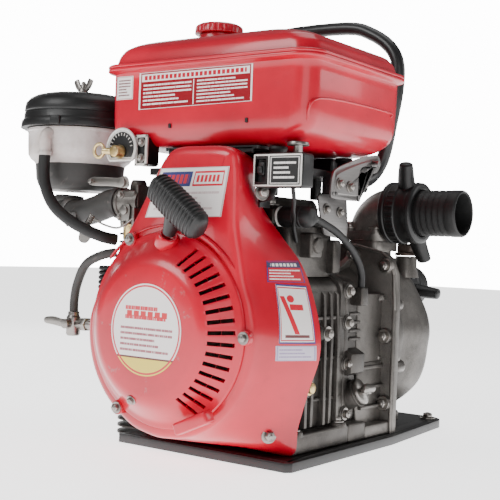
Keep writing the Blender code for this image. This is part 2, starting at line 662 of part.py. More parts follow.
def air_cleaner():
    centre = (CLEANER_X, CLEANER_Y, 0)
    bowl = make("air_cleaner_bowl", turned([(341, 62), (312, 61), (305, 52), (279, 48), (272, 40),
                                            (272, 12), (275, 12), (276, 38), (281, 45), (307, 49),
                                            (314, 58), (341, 59)], centre, (0, 0, 1), 36),
                WHITE, 0.5)
    spout = Vector((CLEANER_X + 9, CLEANER_Y - 62.5, 0))
    add(bowl, rod(spout + Vector((0, -2, 308)), spout + Vector((0, -2, 338)), 7.5, 16))
    make("air_cleaner_lid", turned([(342, 70), (342, 60), (344, 60), (366, 61), (373, 52),
                                    (380, 4), (384, 4), (382, 48), (377, 59), (369, 66),
                                    (352, 66.5), (349, 70)], centre, (0, 0, 1), 40),
         BLACK, 0.35)
    make("filter_element", turned([(282, 18), (282, 40), (368, 40), (368, 18)], centre,
                                  (0, 0, 1), 28), (0.5, 0.45, 0.3), 0.9)
    nut = make("air_cleaner_wing_nut", turned([(384.5, 0), (384.5, 7), (389, 7), (389, 4.5),
                                               (400, 4.5), (400, 0)], centre, (0, 0, 1), 16),
               BRIGHT, 0.35, 0.9)
    for side in (-1, 1):
        x = CLEANER_X + side * 8
        add(nut, box((x - 5, CLEANER_Y - 1.5, 388), (x + 5, CLEANER_Y + 1.5, 404), 1.0))
    set_origin(nut, (CLEANER_X, CLEANER_Y, 389))

    elbow_path = smooth_points([(-237, -180, 267), (-237, -180, 259), (-228, -184, 250),
                                (-206, -190, 246), (-178, -196, 250), (-152, -199, 257),
                                (-140, -200, 258), (-132.5, -200, 258)], 2)
    make("intake_elbow", swept(elbow_path, 15.5, 20, bore=12.5), (0.25, 0.24, 0.24), 0.5)
    hose = smooth_points([(-213, -242.5, 307.5), (-213, -243, 290), (-209, -243, 272),
                          (-198, -240, 252), (-180, -234, 237), (-162, -226, 227),
                          (-148, -214, 220), (-140, -200, 217)], 3)
    make("breather_hose", swept(hose, 6.5, 12), BLACK, 0.5)


def carburettor():
    x, y, z = CARB
    body = make("carburettor", rod((x - 16, y - 5, z + 1), (x + 13.5, y - 5, z + 1), 15, 24),
                SILVER, 0.45, 0.8)
    add(body, box((x - 12, y - 20, z - 20), (x + 12, y + 18, z + 20), 3))
    add(body, rod((x, y, z - 21), (x, y, z + 26), 9, 16))
    add(body, rod((x - 4, y - 20, z + 22), (x - 4, y, z + 22), 5, 16))
    cut(body, rod((x - 40, y - 5, z + 1), (x + 60, y - 5, z + 1), 12, 20))
    add(body, box((x - 2, y + 6, z - 12), (-100 - GAP, y + 34, z + 12)))
    low = z - 21 - GAP
    make("float_bowl", turned([(low, 0), (low, 15), (low - 20, 14.5), (low - 27, 10), (low - 27, 0)],
                              (x, y, 0), (0, 0, 1), 24), BRASS, 0.35, 0.8)
    lever_y = y - 20 - GAP
    choke = make("choke_lever", box((x - 54, lever_y - 2.5, z + 17), (x, lever_y, z + 27), 0.8),
                 BRIGHT, 0.4, 0.8)
    add(choke, rod((x - 4, lever_y - 4, z + 22), (x - 4, lever_y, z + 22), 7, 16))
    set_origin(choke, (x - 4, lever_y, z + 22))
    throttle = make("throttle_lever", box((x - 4, lever_y - 2.5, z - 22), (x + 6, lever_y, z - 4),
                                          0.8), BRIGHT, 0.4, 0.8)
    add(throttle, rod((x + 1, lever_y - 4, z - 8), (x + 1, lever_y, z - 8), 6.5, 16))
    set_origin(throttle, (x + 1, lever_y, z - 8))


def fuel_controls():
    x, y, z = DIAL
    arc = [polar(x, z, 21.5, a) for a in range(-40, 221, 20)]
    plate = make("fuel_dial_plate", prism(arc, 'y', y, y + 3), WHITE, 0.45, 0.2)
    add(plate, rod((x, y + 2, z - 4), (x, y + 14, z - 4), 10, 16))
    lever = make("fuel_lever", rod((x, y - 12, z - 4), (x, y - GAP, z - 4), 9, 20), BRASS, 0.35, 0.9)
    add(lever, rod((x, y - 7, z - 4), (x - 23, y - 9, z - 3), 4, 12))
    add(lever, rod((x - 23, y - 14, z - 3), (x - 23, y - 4, z - 3), 8.5, 20))
    set_origin(lever, (x, y, z - 4))

    cx, cy, cz = COCK
    cock = make("drain_cock", rod((cx, cy, cz - 22), (cx, cy, cz + 7), 8, 16), BRIGHT, 0.4, 0.9)
    add(cock, rod((cx, cy, cz - 8), (cx + 40, cy + 2, cz - 8), 6, 14))
    wing = make("drain_cock_lever", rod((cx, cy - 15, cz - 8), (cx, cy - 8 - GAP, cz - 8), 6, 16),
                BRIGHT, 0.4, 0.9)
    add(wing, box((cx - 34, cy - 13.5, cz - 10), (cx + 4, cy - 10.5, cz - 2), 0.8))
    set_origin(wing, (cx, cy, cz - 8))
    bowl_x = cx + 40 + GAP
    bowl = make("sediment_bowl", turned([(104, 0), (104, 8), (112, 15), (158, 15), (166, 11),
                                         (166, 0)], (bowl_x + 14, cy + 4, 0), (0, 0, 1), 24),
                BRASS, 0.4, 0.8)
    cut(bowl, box((bowl_x - 20, cy - 30, 90), (bowl_x, cy + 40, 180)))
    add(bowl, box((bowl_x + 14, cy + 9.5, 124), (CASE_LEFT_X - GAP, cy + 16, 150)))
    hose = smooth_points([(cx, cy, 136.2), (cx, cy, 147), (-198, -199, 166),
                          (-180, -205, 188), (-156, -206, 199), (-140, -200, 201)], 3)
    make("fuel_hose", swept(hose, 5.0, 12), (0.3, 0.29, 0.28), 0.5)


def ignition():
    make("spark_plug", turned([(56.3, 0), (56.3, 8), (66, 8), (66, 5),
                                      (80, 4.5), (80, 0)], (0, PLUG_Y, PLUG_Z), (1, 0, 0), 20),
                (0.8, 0.78, 0.74), 0.3)
    cap = make("spark_plug_cap", turned([(72, 10), (92, 11), (96, 8), (96, 0.3), (84, 0.3),
                                         (84, 5.6), (72, 5.6)], (0, PLUG_Y, PLUG_Z), (1, 0, 0),
                                        20), BLACK, 0.45)
    add(cap, rod((92, PLUG_Y, PLUG_Z), (97, PLUG_Y, PLUG_Z), 6, 14))
    add(cap, rod((88, PLUG_Y, PLUG_Z), (88, PLUG_Y + 16, PLUG_Z - 1), 5.5, 14))
    lead = smooth_points([(88, PLUG_Y + 17.2, PLUG_Z - 1), (89, -138, 242), (91, -115, 234),
                          (92, -90, 221), (91, -68, 205), (90, -57, 190), (89, -55, 176.4)], 4)
    make("ignition_lead", swept(lead, 3.8, 10), BLACK, 0.45)


def switch_box():
    box_body = make("switch_box", box(SWITCH_LO, SWITCH_HI, 1.5), BLACK, 0.4)
    x0, y0, z0 = SWITCH_LO
    cut(box_body, box((x0 + 3, y0 - 5, z0 + 5), (x0 + 15, y0 + 6, z0 + 27)))
    lever = make("switch_lever", box((x0 + 5, y0 - 5, z0 + 12), (x0 + 13, y0 + 4, z0 + 24), 1.0),
                 BLACK, 0.35)
    set_origin(lever, (x0 + 9, y0 + 4, z0 + 16))


def muffler():
    can = make("muffler", prism(round_rect(-186, -104, -68, 8, 18), 'z', 196, 282),
               (0.12, 0.11, 0.1), 0.6, 0.5)
    pipe = smooth_points([(-145, -30, 200), (-145, -32, 182), (-138, -50, 168),
                          (-125, -60, 158), (-110, -60, 148), (-102, -60, 148),
                          (-93.2, -60, 148)], 3)
    add(can, swept(pipe, 12, 16))


# ---------------------------------------------------------------- oil cap and pump

def oil_cap():
    axis = Vector((22, 4, 10)).normalized()
    base = Vector((92, -58, 62)) + axis * (GAP + 0.2)
    cap = make("oil_cap", turned([(0, 0), (0, 13), (6, 12), (8, 6), (14, 6), (14, 0)],
                                 base, axis, 20), BRIGHT, 0.4, 0.85)
    top = base + axis * 13
    across = Vector((0, 1, 0)) - axis * axis.y
    across.normalize()
    add(cap, rod(top - across * 13, top + across * 13, 4.5, 12))
    set_origin(cap, base)


def pump_adapter():
    front = COVER_REAR_Y + GAP
    foot = PLATE_TOP + GAP
    low, high = FLANGE_Y, FLANGE_Y + FLANGE_THICK
    outline = [(97, foot), (97, 150), (95, 190), (88, 208), (78, 215), (45, 222), (-70, 222),
               (-100, 212), (-112, 190), (-116, 130), (-114, foot)]
    adapter = make("pump_adapter", prism(outline, 'y', low, high), SILVER, 0.5, 0.8)
    barrel = turned([(front, 48), (front, 66), (low + 4, 82), (low + 4, 62)],
                    (CRANK_X, 0, CRANK_Z), (0, 1, 0), 36)
    add(adapter, barrel)
    add(adapter, box((-97, front, foot), (95, high, 24)))
    for angle in (58, 20, -22, 122, 160, 202):
        inner = polar(CRANK_X, CRANK_Z, 60, angle)
        outer = polar(CRANK_X, CRANK_Z, 94, angle)
        add(adapter, rib(inner, outer, front + 22, low + 4))
    for x in (-84, 70):
        add(adapter, box((x, front, 20), (x + 12, low + 4, 92)))
    cut(adapter, box((-66, front - 10, foot - 5), (64, low - 6, 46)))
    cut(adapter, rod((CRANK_X, low - 20, CRANK_Z), (CRANK_X, high + 10, CRANK_Z), 22, 28))
    make("shaft_seal", turned([(14, 9.6), (14, 21.2), (34, 18), (34, 9.6)],
                              (CRANK_X, 0, CRANK_Z), (0, 1, 0), 24), BLACK, 0.5)


def rib(inner, outer, low, high):
    """A sloping web from the barrel out to the flange."""
    dx, dz = outer[0] - inner[0], outer[1] - inner[1]
    length = math.hypot(dx, dz)
    nx, nz = -dz / length * 3, dx / length * 3

    def fill(bm):
        corners = [(inner, low), (inner, high), (outer, high), (outer, high - 8)]
        rings = [[(p[0] + s * nx, y, p[1] + s * nz) for p, y in corners] for s in (-1, 1)]
        bridge(bm, rings)
    return fill


def casing_radius(angle):
    """Snail outline: small at the upper right, growing down and round to the left."""
    table = ((-180, 106), (-135, 114), (-90, 116), (-41, 117), (-10, 107), (30, 96), (60, 91),
             (90, 90), (135, 96), (180, 106))
    for (a0, r0), (a1, r1) in zip(table, table[1:]):
        if a0 <= angle <= a1:
            t = (angle - a0) / (a1 - a0)
            t = t * t * (3 - 2 * t)
            return r0 + (r1 - r0) * t
    return table[-1][1]


def pump_casing():
    angles = [-180 + 360 * k / 40 for k in range(40)]

    def snail(shrink):
        return [polar(CRANK_X, CRANK_Z, casing_radius(a) - shrink, a) for a in angles]

    levels = ((CASING_FRONT_Y, 0), (CASING_REAR_Y - 16, 0), (CASING_REAR_Y - 5, 5),
              (CASING_REAR_Y, 16))
    rings = [[(x, y, z) for x, z in snail(s)] for y, s in levels]
    casing = make("pump_casing", lambda bm: bridge(bm, rings), SILVER, 0.55, 0.75)
    add(casing, rod((OUTLET_RISE_X, OUTLET_Y, 190), (OUTLET_RISE_X, OUTLET_Y, 222), 26, 28))
    add(casing, prism(round_rect(0, 55, 40, 96, 12), 'z', 216, 228))
    add(casing, rod((60, 103, 170), (60, 103, 212), 12, 20))
    add(casing, rod((INLET_X, 100, INLET_Z), (INLET_X, INLET_FACE_Y, INLET_Z), 31, 32))
    add(casing, box((-70, 50, PLATE_TOP + GAP), (60, 100, 24)))
    cavity = [[(x, y, z) for x, z in snail(s)]
              for y, s in ((CASING_FRONT_Y - 10, 7), (CASING_REAR_Y - 18, 7),
                           (CASING_REAR_Y - 7, 18))]
    cut(casing, lambda bm: bridge(bm, cavity))
    cut(casing, rod((OUTLET_RISE_X, OUTLET_Y, 160), (OUTLET_RISE_X, OUTLET_Y, 240), PORT_R, 28))
    cut(casing, rod((60, 103, 150), (60, 103, 230), 8, 16))
    cut(casing, rod((INLET_X, 90, INLET_Z), (INLET_X, INLET_FACE_Y + 10, INLET_Z), PORT_R, 28))

    plug = make("priming_plug", turned([(200, 0), (200, 7.5), (212.3, 7.5), (212.3, 13),
                                        (217, 13), (217, 10), (227, 9.5), (227, 0)],
                                       (60, 103, 0), (0, 0, 1), 18), (0.13, 0.07, 0.05), 0.6)
    set_origin(plug, (60, 103, 212))
    impeller = make("impeller", prism(vane_outline(), 'y', 46, 66), SILVER, 0.5, 0.8)
    add(impeller, rod((CRANK_X, 40, CRANK_Z), (CRANK_X, 48, CRANK_Z), 56, 32))
    cut(impeller, rod((CRANK_X, 30, CRANK_Z), (CRANK_X, 80, CRANK_Z), 9.6, 20))
    set_origin(impeller, (CRANK_X, 56, CRANK_Z))


def vane_outline():
    vanes = 6
    outline = []
    for k in range(vanes):
        base = 360 * k / vanes
        for offset, radius in ((0, 16), (6, 26), (20, 42), (36, 54), (42, 54), (30, 38), (24, 26),
                               (30, 16)):
            outline.append(polar(CRANK_X, CRANK_Z, radius, base + offset))
    return outline


def coupling(name, centre, axis, wing_axis):
    """Black claw nut with two wings; centre is the face of its port."""
    nut = make(name, turned([(-6, 32), (-6, 36.5), (30, 36.5), (36, 34), (36, HOSE_R + 0.6),
                             (7, HOSE_R + 0.6), (7, 32)], centre, axis, 32), BLACK, 0.45)
    unit, _, _ = frame_of(axis)
    wing = Vector(wing_axis).normalized()
    middle = Vector(centre) + unit * 16
    for side in (-1, 1):
        path = [middle + wing * side * r + unit * s for r, s in ((33, 0), (48, 1), (63, 4))]
        add(nut, swept(path, [10, 8.5, 6.5], 12))
    set_origin(nut, centre)


def stub(name, centre, axis, length):
    make(name, turned([(GAP, 23.5), (GAP, 31.4), (6.5, 31.4), (6.5, HOSE_R), (length, HOSE_R),
                       (length, 23.5)], centre, axis, 32), BLACK, 0.5)


def hose_ports():
    x0 = OUTLET_RISE_X
    arc = [(x0, OUTLET_Y, 229)]
    for k in range(9):
        a = math.radians(180 - 90 * k / 8)
        arc.append((x0 + OUTLET_BEND + OUTLET_BEND * math.cos(a), OUTLET_Y,
                    OUTLET_Z - OUTLET_BEND + OUTLET_BEND * math.sin(a)))
    arc.append((OUTLET_FACE_X, OUTLET_Y, OUTLET_Z))
    radii = [24.5] + [24.5 + 5 * k / 8 for k in range(9)] + [30]
    elbow = make("discharge_elbow", swept(arc, radii, 28), SILVER, 0.5, 0.8)
    add(elbow, prism(round_rect(2, 54, 42, 94, 12), 'z', 228 + GAP, 240))
    bore = [(x0, OUTLET_Y, 200)] + arc + [(OUTLET_FACE_X + 20, OUTLET_Y, OUTLET_Z)]
    cut(elbow, swept(bore, PORT_R, 24))
    coupling("discharge_coupling", (OUTLET_FACE_X, OUTLET_Y, OUTLET_Z), (1, 0, 0),
             (0, -0.3, 0.95))
    stub("discharge_stub", (OUTLET_FACE_X, OUTLET_Y, OUTLET_Z), (1, 0, 0), 88)
    inlet = (INLET_X, INLET_FACE_Y + GAP, INLET_Z)
    coupling("suction_coupling", inlet, (0, 1, 0), (0.99, 0, -0.1))
    stub("suction_stub", inlet, (0, 1, 0), 70)


def main():
    for leftover in list(bpy.data.objects):
        bpy.data.objects.remove(leftover)
    for build in (base_plate, crankcase, crankcase_cover, cylinder, cylinder_head, crankshaft,
                  camshaft, piston_set, valves, flywheel, fan_shroud, recoil_starter,
                  starter_grip, fuel_tank, tank_support, handle, air_cleaner, carburettor,
                  fuel_controls, ignition, switch_box, muffler, oil_cap, pump_adapter,
                  pump_casing, hose_ports):
        build()


main()
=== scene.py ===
"""Looks of a small gasoline engine that drives a water pump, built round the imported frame.

Shapes are worked out in millimetres in the frame's own axes: X right across the starter side,
Y from the starter to the pump, Z up.  Every finished piece is in metres with its place in its mesh.
"""

import json
import math

import bmesh
import bpy
from mathutils import Matrix, Vector
from mathutils.bvhtree import BVHTree

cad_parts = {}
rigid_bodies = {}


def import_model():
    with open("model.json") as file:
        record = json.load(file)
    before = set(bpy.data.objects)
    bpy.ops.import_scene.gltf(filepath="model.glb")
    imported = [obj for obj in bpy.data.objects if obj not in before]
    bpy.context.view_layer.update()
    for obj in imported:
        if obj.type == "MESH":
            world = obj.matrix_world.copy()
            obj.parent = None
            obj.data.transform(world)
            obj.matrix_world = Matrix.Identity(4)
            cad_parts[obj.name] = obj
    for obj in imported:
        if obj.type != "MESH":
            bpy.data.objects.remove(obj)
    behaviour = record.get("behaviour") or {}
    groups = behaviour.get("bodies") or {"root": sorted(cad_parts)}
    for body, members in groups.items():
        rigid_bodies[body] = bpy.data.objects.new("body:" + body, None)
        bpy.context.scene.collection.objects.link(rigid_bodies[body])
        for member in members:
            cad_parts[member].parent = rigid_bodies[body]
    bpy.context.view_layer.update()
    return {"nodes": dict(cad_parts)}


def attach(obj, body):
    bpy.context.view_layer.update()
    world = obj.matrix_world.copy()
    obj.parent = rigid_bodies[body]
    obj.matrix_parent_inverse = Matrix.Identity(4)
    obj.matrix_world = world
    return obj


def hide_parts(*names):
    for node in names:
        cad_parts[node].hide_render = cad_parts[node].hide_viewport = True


for leftover in list(bpy.data.objects):
    bpy.data.objects.remove(leftover)
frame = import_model()

MM = 0.001
CRANK_X, CRANK_Z = -10.0, 130.0
SHROUD_FRONT_Y, SHROUD_REAR_Y = -262.0, -187.5
STARTER_FRONT_Y = -292.0
STARTER_R = 97.0
DOME_BACK_Y = SHROUD_FRONT_Y - 0.3
TANK_LEFT_X, TANK_RIGHT_X = -145.0, 119.0
TANK_FRONT_Y, TANK_REAR_Y = -219.0, -30.0
TANK_BOTTOM_Z, TANK_SEAM_Z = 316.0, 402.0
CLEANER = (-222.0, -178.0)
PULL = Vector((0.58, -0.35, 0.74)).normalized()
OUTLET = (62.0, 68.0, 263.0)
INLET = (15.0, 134.3, 172.0)
DECK_Z = 290.0
NECK_TOP_Z = 447.3
CAP_AXIS = (-58.0, -135.0)
PLUG = (-168.0, 247.0)
SWITCH_LOW, SWITCH_HIGH = (69.0, -236.0, 272.0), (126.0, -216.0, 304.0)
CARBURETTOR = (-114.0, -195.0, 257.0)
DIAL = (-114.0, -226.0, 315.0)
DRAIN_COCK = (-205.0, -196.0, 128.0)


# ---------------------------------------------------------------- shader maths

class Link:
    """One socket of a finish, usable in arithmetic."""

    def __init__(self, paint, socket):
        self.paint = paint
        self.socket = socket

    def maths(self, operation, *values):
        return self.paint.maths(operation, *values)

    def __add__(self, other):
        return self.maths("ADD", self, other)

    def __sub__(self, other):
        return self.maths("SUBTRACT", self, other)

    def __rsub__(self, other):
        return self.maths("SUBTRACT", other, self)

    def __mul__(self, other):
        return self.maths("MULTIPLY", self, other)

    def __truediv__(self, other):
        return self.maths("DIVIDE", self, other)

    __radd__ = __add__
    __rmul__ = __mul__

    def above(self, level):
        return self.maths("GREATER_THAN", self, level)

    def below(self, level):
        return self.maths("LESS_THAN", self, level)

    def either(self, other):
        return self.maths("MAXIMUM", self, other)

    def repeat(self):
        return self.maths("FRACT", self)

    def size(self):
        return self.maths("ABSOLUTE", self)

    def rise(self, low, high):
        """0 below low, 1 above high, smooth between."""
        return self.paint.node("ShaderNodeMapRange", {"interpolation_type": 'SMOOTHSTEP'},
                               {"Value": self, "From Min": low, "From Max": high})

    def between(self, low, high):
        return self.above(low) * self.below(high)


class Finish:
    """A material made of nodes."""

    def __init__(self, name):
        self.material = bpy.data.materials.new(name)
        self.material.use_nodes = True
        self.tree = self.material.node_tree
        self.shader = self.tree.nodes["Principled BSDF"]

    def node(self, kind, settings=None, values=None, output=0):
        """Add any node: its settings first, then the values or links of its sockets."""
        made = self.tree.nodes.new(kind)
        for key, value in (settings or {}).items():
            setattr(made, key, value)
        for key, value in (values or {}).items():
            self.feed(made.inputs[key], value)
        return Link(self, made.outputs[output])

    def feed(self, socket, value):
        if isinstance(value, Link):
            self.tree.links.new(value.socket, socket)
        elif isinstance(value, (tuple, list)) and socket.type == 'RGBA':
            socket.default_value = (*value[:3], 1.0)
        else:
            socket.default_value = value

    def place(self, scale=(1.0, 1.0, 1.0)):
        """Object coordinates, scaled."""
        raw = self.node("ShaderNodeTexCoord", output=3)
        return self.node("ShaderNodeMapping", None, {"Vector": raw, "Scale": scale})

    def noise(self, scale, detail=3.0, roughness=0.55, vector=None, distortion=0.0):
        return self.node("ShaderNodeTexNoise", None,
                         {"Vector": vector or self.place(), "Scale": scale, "Detail": detail,
                          "Roughness": roughness, "Distortion": distortion})

    def cells(self, scale):
        return self.node("ShaderNodeTexVoronoi", {"feature": 'F1'},
                         {"Vector": self.place(), "Scale": scale})

    def blend(self, factor, one, other):
        return self.node("ShaderNodeMix", {"data_type": 'RGBA'}, {0: factor, 6: one, 7: other}, 2)

    def parts(self, vector):
        made = self.tree.nodes.new("ShaderNodeSeparateXYZ")
        self.feed(made.inputs[0], vector)
        return [Link(self, out) for out in made.outputs]

    def uv(self):
        return self.parts(self.node("ShaderNodeUVMap", {"uv_map": "face"}))[:2]

    def edges(self):
        """How sharp the surface is here: about 0.5 on the flat, more on an outer edge."""
        return self.node("ShaderNodeNewGeometry", output=7)

    def facing(self):
        """The normal's parts, for dust that settles on top."""
        return self.parts(self.node("ShaderNodeNewGeometry", output=1))

    def vector(self, x, y, z):
        return self.node("ShaderNodeCombineXYZ", None, {0: x, 1: y, 2: z})

    def maths(self, operation, *values):
        return self.node("ShaderNodeMath", {"operation": operation}, dict(enumerate(values)))

    def bump(self, height, strength, distance=0.0005, onto=None):
        values = {"Height": height, "Strength": strength, "Distance": distance}
        if onto:
            values["Normal"] = onto
        return self.node("ShaderNodeBump", None, values)

    def set(self, **sockets):
        for name, value in sockets.items():
            self.feed(self.shader.inputs[name.replace("_", " ")], value)
        return self.material


# ---------------------------------------------------------------- finishes

def enamel(name, deep, bright, coat=0.6, roughness=0.3, chip=(0.25, 0.23, 0.22), worn=0.6):
    """Sprayed gloss paint: slow shade changes, orange peel, fine dirt and rubbed edges."""
    paint = Finish(name)
    cloud = paint.noise(9.0, 4.0, 0.6)
    grime = paint.noise(60.0, 6.0, 0.7).rise(0.56, 0.78)
    speck = paint.cells(520.0).below(0.12) * paint.noise(40.0).rise(0.55, 0.7)
    colour = paint.blend(cloud.rise(0.3, 0.72), deep, bright)
    colour = paint.blend(grime * 0.22, colour, tuple(c * 0.35 for c in deep))
    rubbed = (paint.edges().rise(0.56, 0.66) * paint.noise(120.0, 5.0, 0.7).rise(0.5, 0.62)) * worn
    colour = paint.blend(rubbed.either(speck * 0.35), colour, chip)
    peel = paint.noise(420.0, 2.0, 0.5)
    wave = paint.noise(22.0, 2.0, 0.5)
    relief = paint.bump(wave, 0.12, 0.002, paint.bump(peel, 0.05, 0.0003))
    return paint.set(Base_Color=colour, Roughness=grime * 0.16 + rubbed * 0.25 + roughness,
                     Normal=relief, Coat_Weight=coat, Coat_Roughness=0.08,
                     IOR=1.5)


def casting(name, dark, light, metal=0.75, roughness=0.42, grime_level=0.55):
    """Sand-cast metal: coarse skin, noise dirt plus painted shade in the hollows, and bright
    handled edges.
    """
    paint = Finish(name)
    cloud = paint.noise(14.0, 5.0, 0.65)
    skin = paint.noise(900.0, 3.0, 0.6)
    pits = paint.cells(495.0).rise(0.0, 0.35)
    colour = paint.blend(cloud.rise(0.28, 0.75), dark, light)
    colour = paint.blend(skin.rise(0.35, 0.8) * 0.35, colour, tuple(c * 1.25 for c in light))
    dirt_and_crease_shade = paint.noise(34.0, 6.0, 0.72, distortion=0.6).rise(grime_level, grime_level + 0.22)
    # painted shade: inner corners and creases, found by pointiness, are darkened as if shade fell
    # there
    crease_shade = 1.0 - paint.edges().rise(0.42, 0.5)
    dirt_and_crease_shade = (dirt_and_crease_shade * 0.6 + crease_shade * 0.55).rise(0.15, 1.0)
    # near-black for the noise dirt and for the painted shade in the creases
    colour = paint.blend(dirt_and_crease_shade * 0.75, colour, (0.035, 0.028, 0.022))
    bright = paint.edges().rise(0.53, 0.64)
    colour = paint.blend(bright * 0.5, colour, tuple(min(1.0, c * 1.7) for c in light))
    relief = paint.bump(skin + pits * 0.5, 0.35, 0.0004,
                        paint.bump(paint.noise(60.0, 3.0), 0.25, 0.001))
    return paint.set(Base_Color=colour, Metallic=metal - dirt_and_crease_shade * 0.55,
                     Roughness=roughness + dirt_and_crease_shade * 0.35 - bright * 0.1, Normal=relief)


def plated(name, tint, roughness=0.28, stain=(0.2, 0.13, 0.07), stained=0.35):
    """Zinc-plated or turned steel: fine drawn lines, stains and bright edges."""
    paint = Finish(name)
    lines = paint.noise(30.0, 4.0, 0.6, vector=paint.place((1.0, 1.0, 28.0)))
    spots = paint.noise(85.0, 6.0, 0.7).rise(0.58, 0.74)
    colour = paint.blend(lines.rise(0.3, 0.7) * 0.6, tint, tuple(c * 0.7 for c in tint))
    colour = paint.blend(spots * stained, colour, stain)
    bright = paint.edges().rise(0.53, 0.62)
    colour = paint.blend(bright * 0.4, colour, tuple(min(1.0, c * 1.35) for c in tint))
    return paint.set(Base_Color=colour, Metallic=1.0 - spots * 0.5,
                     Roughness=roughness + lines * 0.14 + spots * 0.3,
                     Normal=paint.bump(lines, 0.12, 0.0002))


def moulded(name, base, roughness, dust=(0.25, 0.2, 0.18), dusty=0.3, relief_depth=0.2,
            coat=0.0, scuff=1.0):
    """Moulded plastic or rubber: fine grain, scuffs, and dust that lies on top."""
    paint = Finish(name)
    texture = paint.noise(700.0, 3.0, 0.6)
    patch = paint.noise(18.0, 5.0, 0.7)
    scratch = paint.noise(26.0, 4.0, 0.6, vector=paint.place((1.0, 9.0, 2.0))).rise(0.6, 0.7)
    colour = paint.blend(patch.rise(0.3, 0.75), tuple(c * 0.75 for c in base),
                         tuple(min(1.0, c * 1.3) for c in base))
    lying = paint.facing()[2].rise(0.2, 1.0) * paint.noise(50.0, 6.0, 0.75).rise(0.42, 0.7)
    colour = paint.blend(lying * dusty, colour, dust)
    worn = paint.edges().rise(0.54, 0.66)
    colour = paint.blend((worn * 0.35 + scratch * 0.12) * scuff, colour, dust)
    relief = paint.bump(texture, relief_depth, 0.0003)
    return paint.set(Base_Color=colour, Normal=relief, Coat_Weight=coat,
                     Roughness=roughness + patch * 0.12 + lying * 0.25 - scratch * 0.08)


def milky_plastic(name):
    """Yellowed translucent white plastic, with painted shade darkening its lower part."""
    paint = Finish(name)
    height = paint.parts(paint.place())[2]
    stain = paint.noise(16.0, 5.0, 0.65)
    colour = paint.blend(stain.rise(0.3, 0.75), (0.50, 0.43, 0.40), (0.82, 0.76, 0.74))
    # painted shade: below about 0.28 to 0.32 m height the plastic turns darker grey, as shade under
    # the wide rim
    low = 1.0 - height.rise(0.276, 0.316)
    colour = paint.blend(low * 0.62, colour, (0.27, 0.25, 0.25))
    dirt = paint.noise(80.0, 6.0, 0.7).rise(0.55, 0.75)
    colour = paint.blend(dirt * 0.3, colour, (0.3, 0.18, 0.12))
    return paint.set(Base_Color=colour, Roughness=stain * 0.15 + 0.3, Coat_Weight=0.3,
                     Normal=paint.bump(paint.noise(300.0, 2.0), 0.06, 0.0003),
                     Subsurface_Weight=0.25, Subsurface_Scale=0.01,
                     Subsurface_Radius=(1.0, 0.8, 0.7))


def open_foam(name):
    paint = Finish(name)
    holes = paint.cells(650.0).rise(0.0, 0.5)
    colour = paint.blend(holes, (0.05, 0.04, 0.03), (0.55, 0.47, 0.30))
    return paint.set(Base_Color=colour, Roughness=0.9, Normal=paint.bump(holes, 0.8, 0.001))


def brass_finish(name):
    paint = Finish(name)
    cloud = paint.noise(45.0, 5.0, 0.7)
    tarnish = paint.noise(120.0, 5.0, 0.7).rise(0.5, 0.72)
    colour = paint.blend(cloud.rise(0.3, 0.7), (0.50, 0.33, 0.10), (0.86, 0.68, 0.36))
    colour = paint.blend(tarnish * 0.5, colour, (0.13, 0.08, 0.03))
    bright = paint.edges().rise(0.53, 0.62)
    colour = paint.blend(bright * 0.5, colour, (0.95, 0.86, 0.6))
    return paint.set(Base_Color=colour, Metallic=0.95 - tarnish * 0.4,
                     Roughness=0.26 + tarnish * 0.3 + cloud * 0.1,
                     Normal=paint.bump(cloud, 0.15, 0.0003))


def floor_finish(name):
    paint = Finish(name)
    mottled = paint.noise(3.0, 3.0)
    colour = paint.blend(mottled, (0.90, 0.90, 0.90), (0.93, 0.93, 0.93))
    return paint.set(Base_Color=colour, Roughness=0.55, Emission_Color=(1.0, 1.0, 1.0),
                     Emission_Strength=2.2)


# ---------------------------------------------------------------- shape tools

def frame_of(axis):
    """An axis and two unit vectors square to it."""
    axis = Vector(axis).normalized()
    guide = Vector((0, 0, 1)) if abs(axis.z) < 0.9 else Vector((1, 0, 0))
    side = guide.cross(axis).normalized()
    return axis, side, axis.cross(side)


def polar(radius, degrees, centre=(CRANK_X, CRANK_Z)):
    angle = math.radians(degrees)
    return centre[0] + radius * math.cos(angle), centre[1] + radius * math.sin(angle)


def curve_through(points, steps, closed=False):
    """Catmull-Rom curve through points, steps points on each stretch."""
    points = [Vector(p) for p in points]
    count = len(points)
    result = []
    for i in range(count if closed else count - 1):
        if closed:
            p0, p1, p2, p3 = (points[(i + k - 1) % count] for k in range(4))
        else:
            p0, p1, p2 = points[max(i - 1, 0)], points[i], points[i + 1]
            p3 = points[min(i + 2, count - 1)]
        for k in range(steps):
            t = k / steps
            result.append(0.5 * (2 * p1 + (p2 - p0) * t + (2 * p0 - 5 * p1 + 4 * p2 - p3) * t * t
                                 + (3 * p1 - p0 - 3 * p2 + p3) * t ** 3))
    if not closed:
        result.append(points[-1])
    return result


def flat_curve(points, steps, closed=True):
    return [(p.x, p.y) for p in curve_through([(*p, 0) for p in points], steps, closed)]


def round_rect(x0, x1, y0, y1, radius, steps=8):
    points = []
    corners = ((x1 - radius, y1 - radius, 0), (x0 + radius, y1 - radius, 90),
               (x0 + radius, y0 + radius, 180), (x1 - radius, y0 + radius, 270))
    for cx, cy, start in corners:
        for k in range(steps + 1):
            points.append(polar(radius, start + 90 * k / steps, (cx, cy)))
    return points


def inset(outline, distance):
    """Move a counter-clockwise outline inwards along its normals."""
    moved = []
    count = len(outline)
    for i, point in enumerate(outline):
        before, after = outline[i - 1], outline[(i + 1) % count]
        dx, dy = after[0] - before[0], after[1] - before[1]
        length = math.hypot(dx, dy)
        moved.append((point[0] - dy / length * distance, point[1] + dx / length * distance))
    return moved


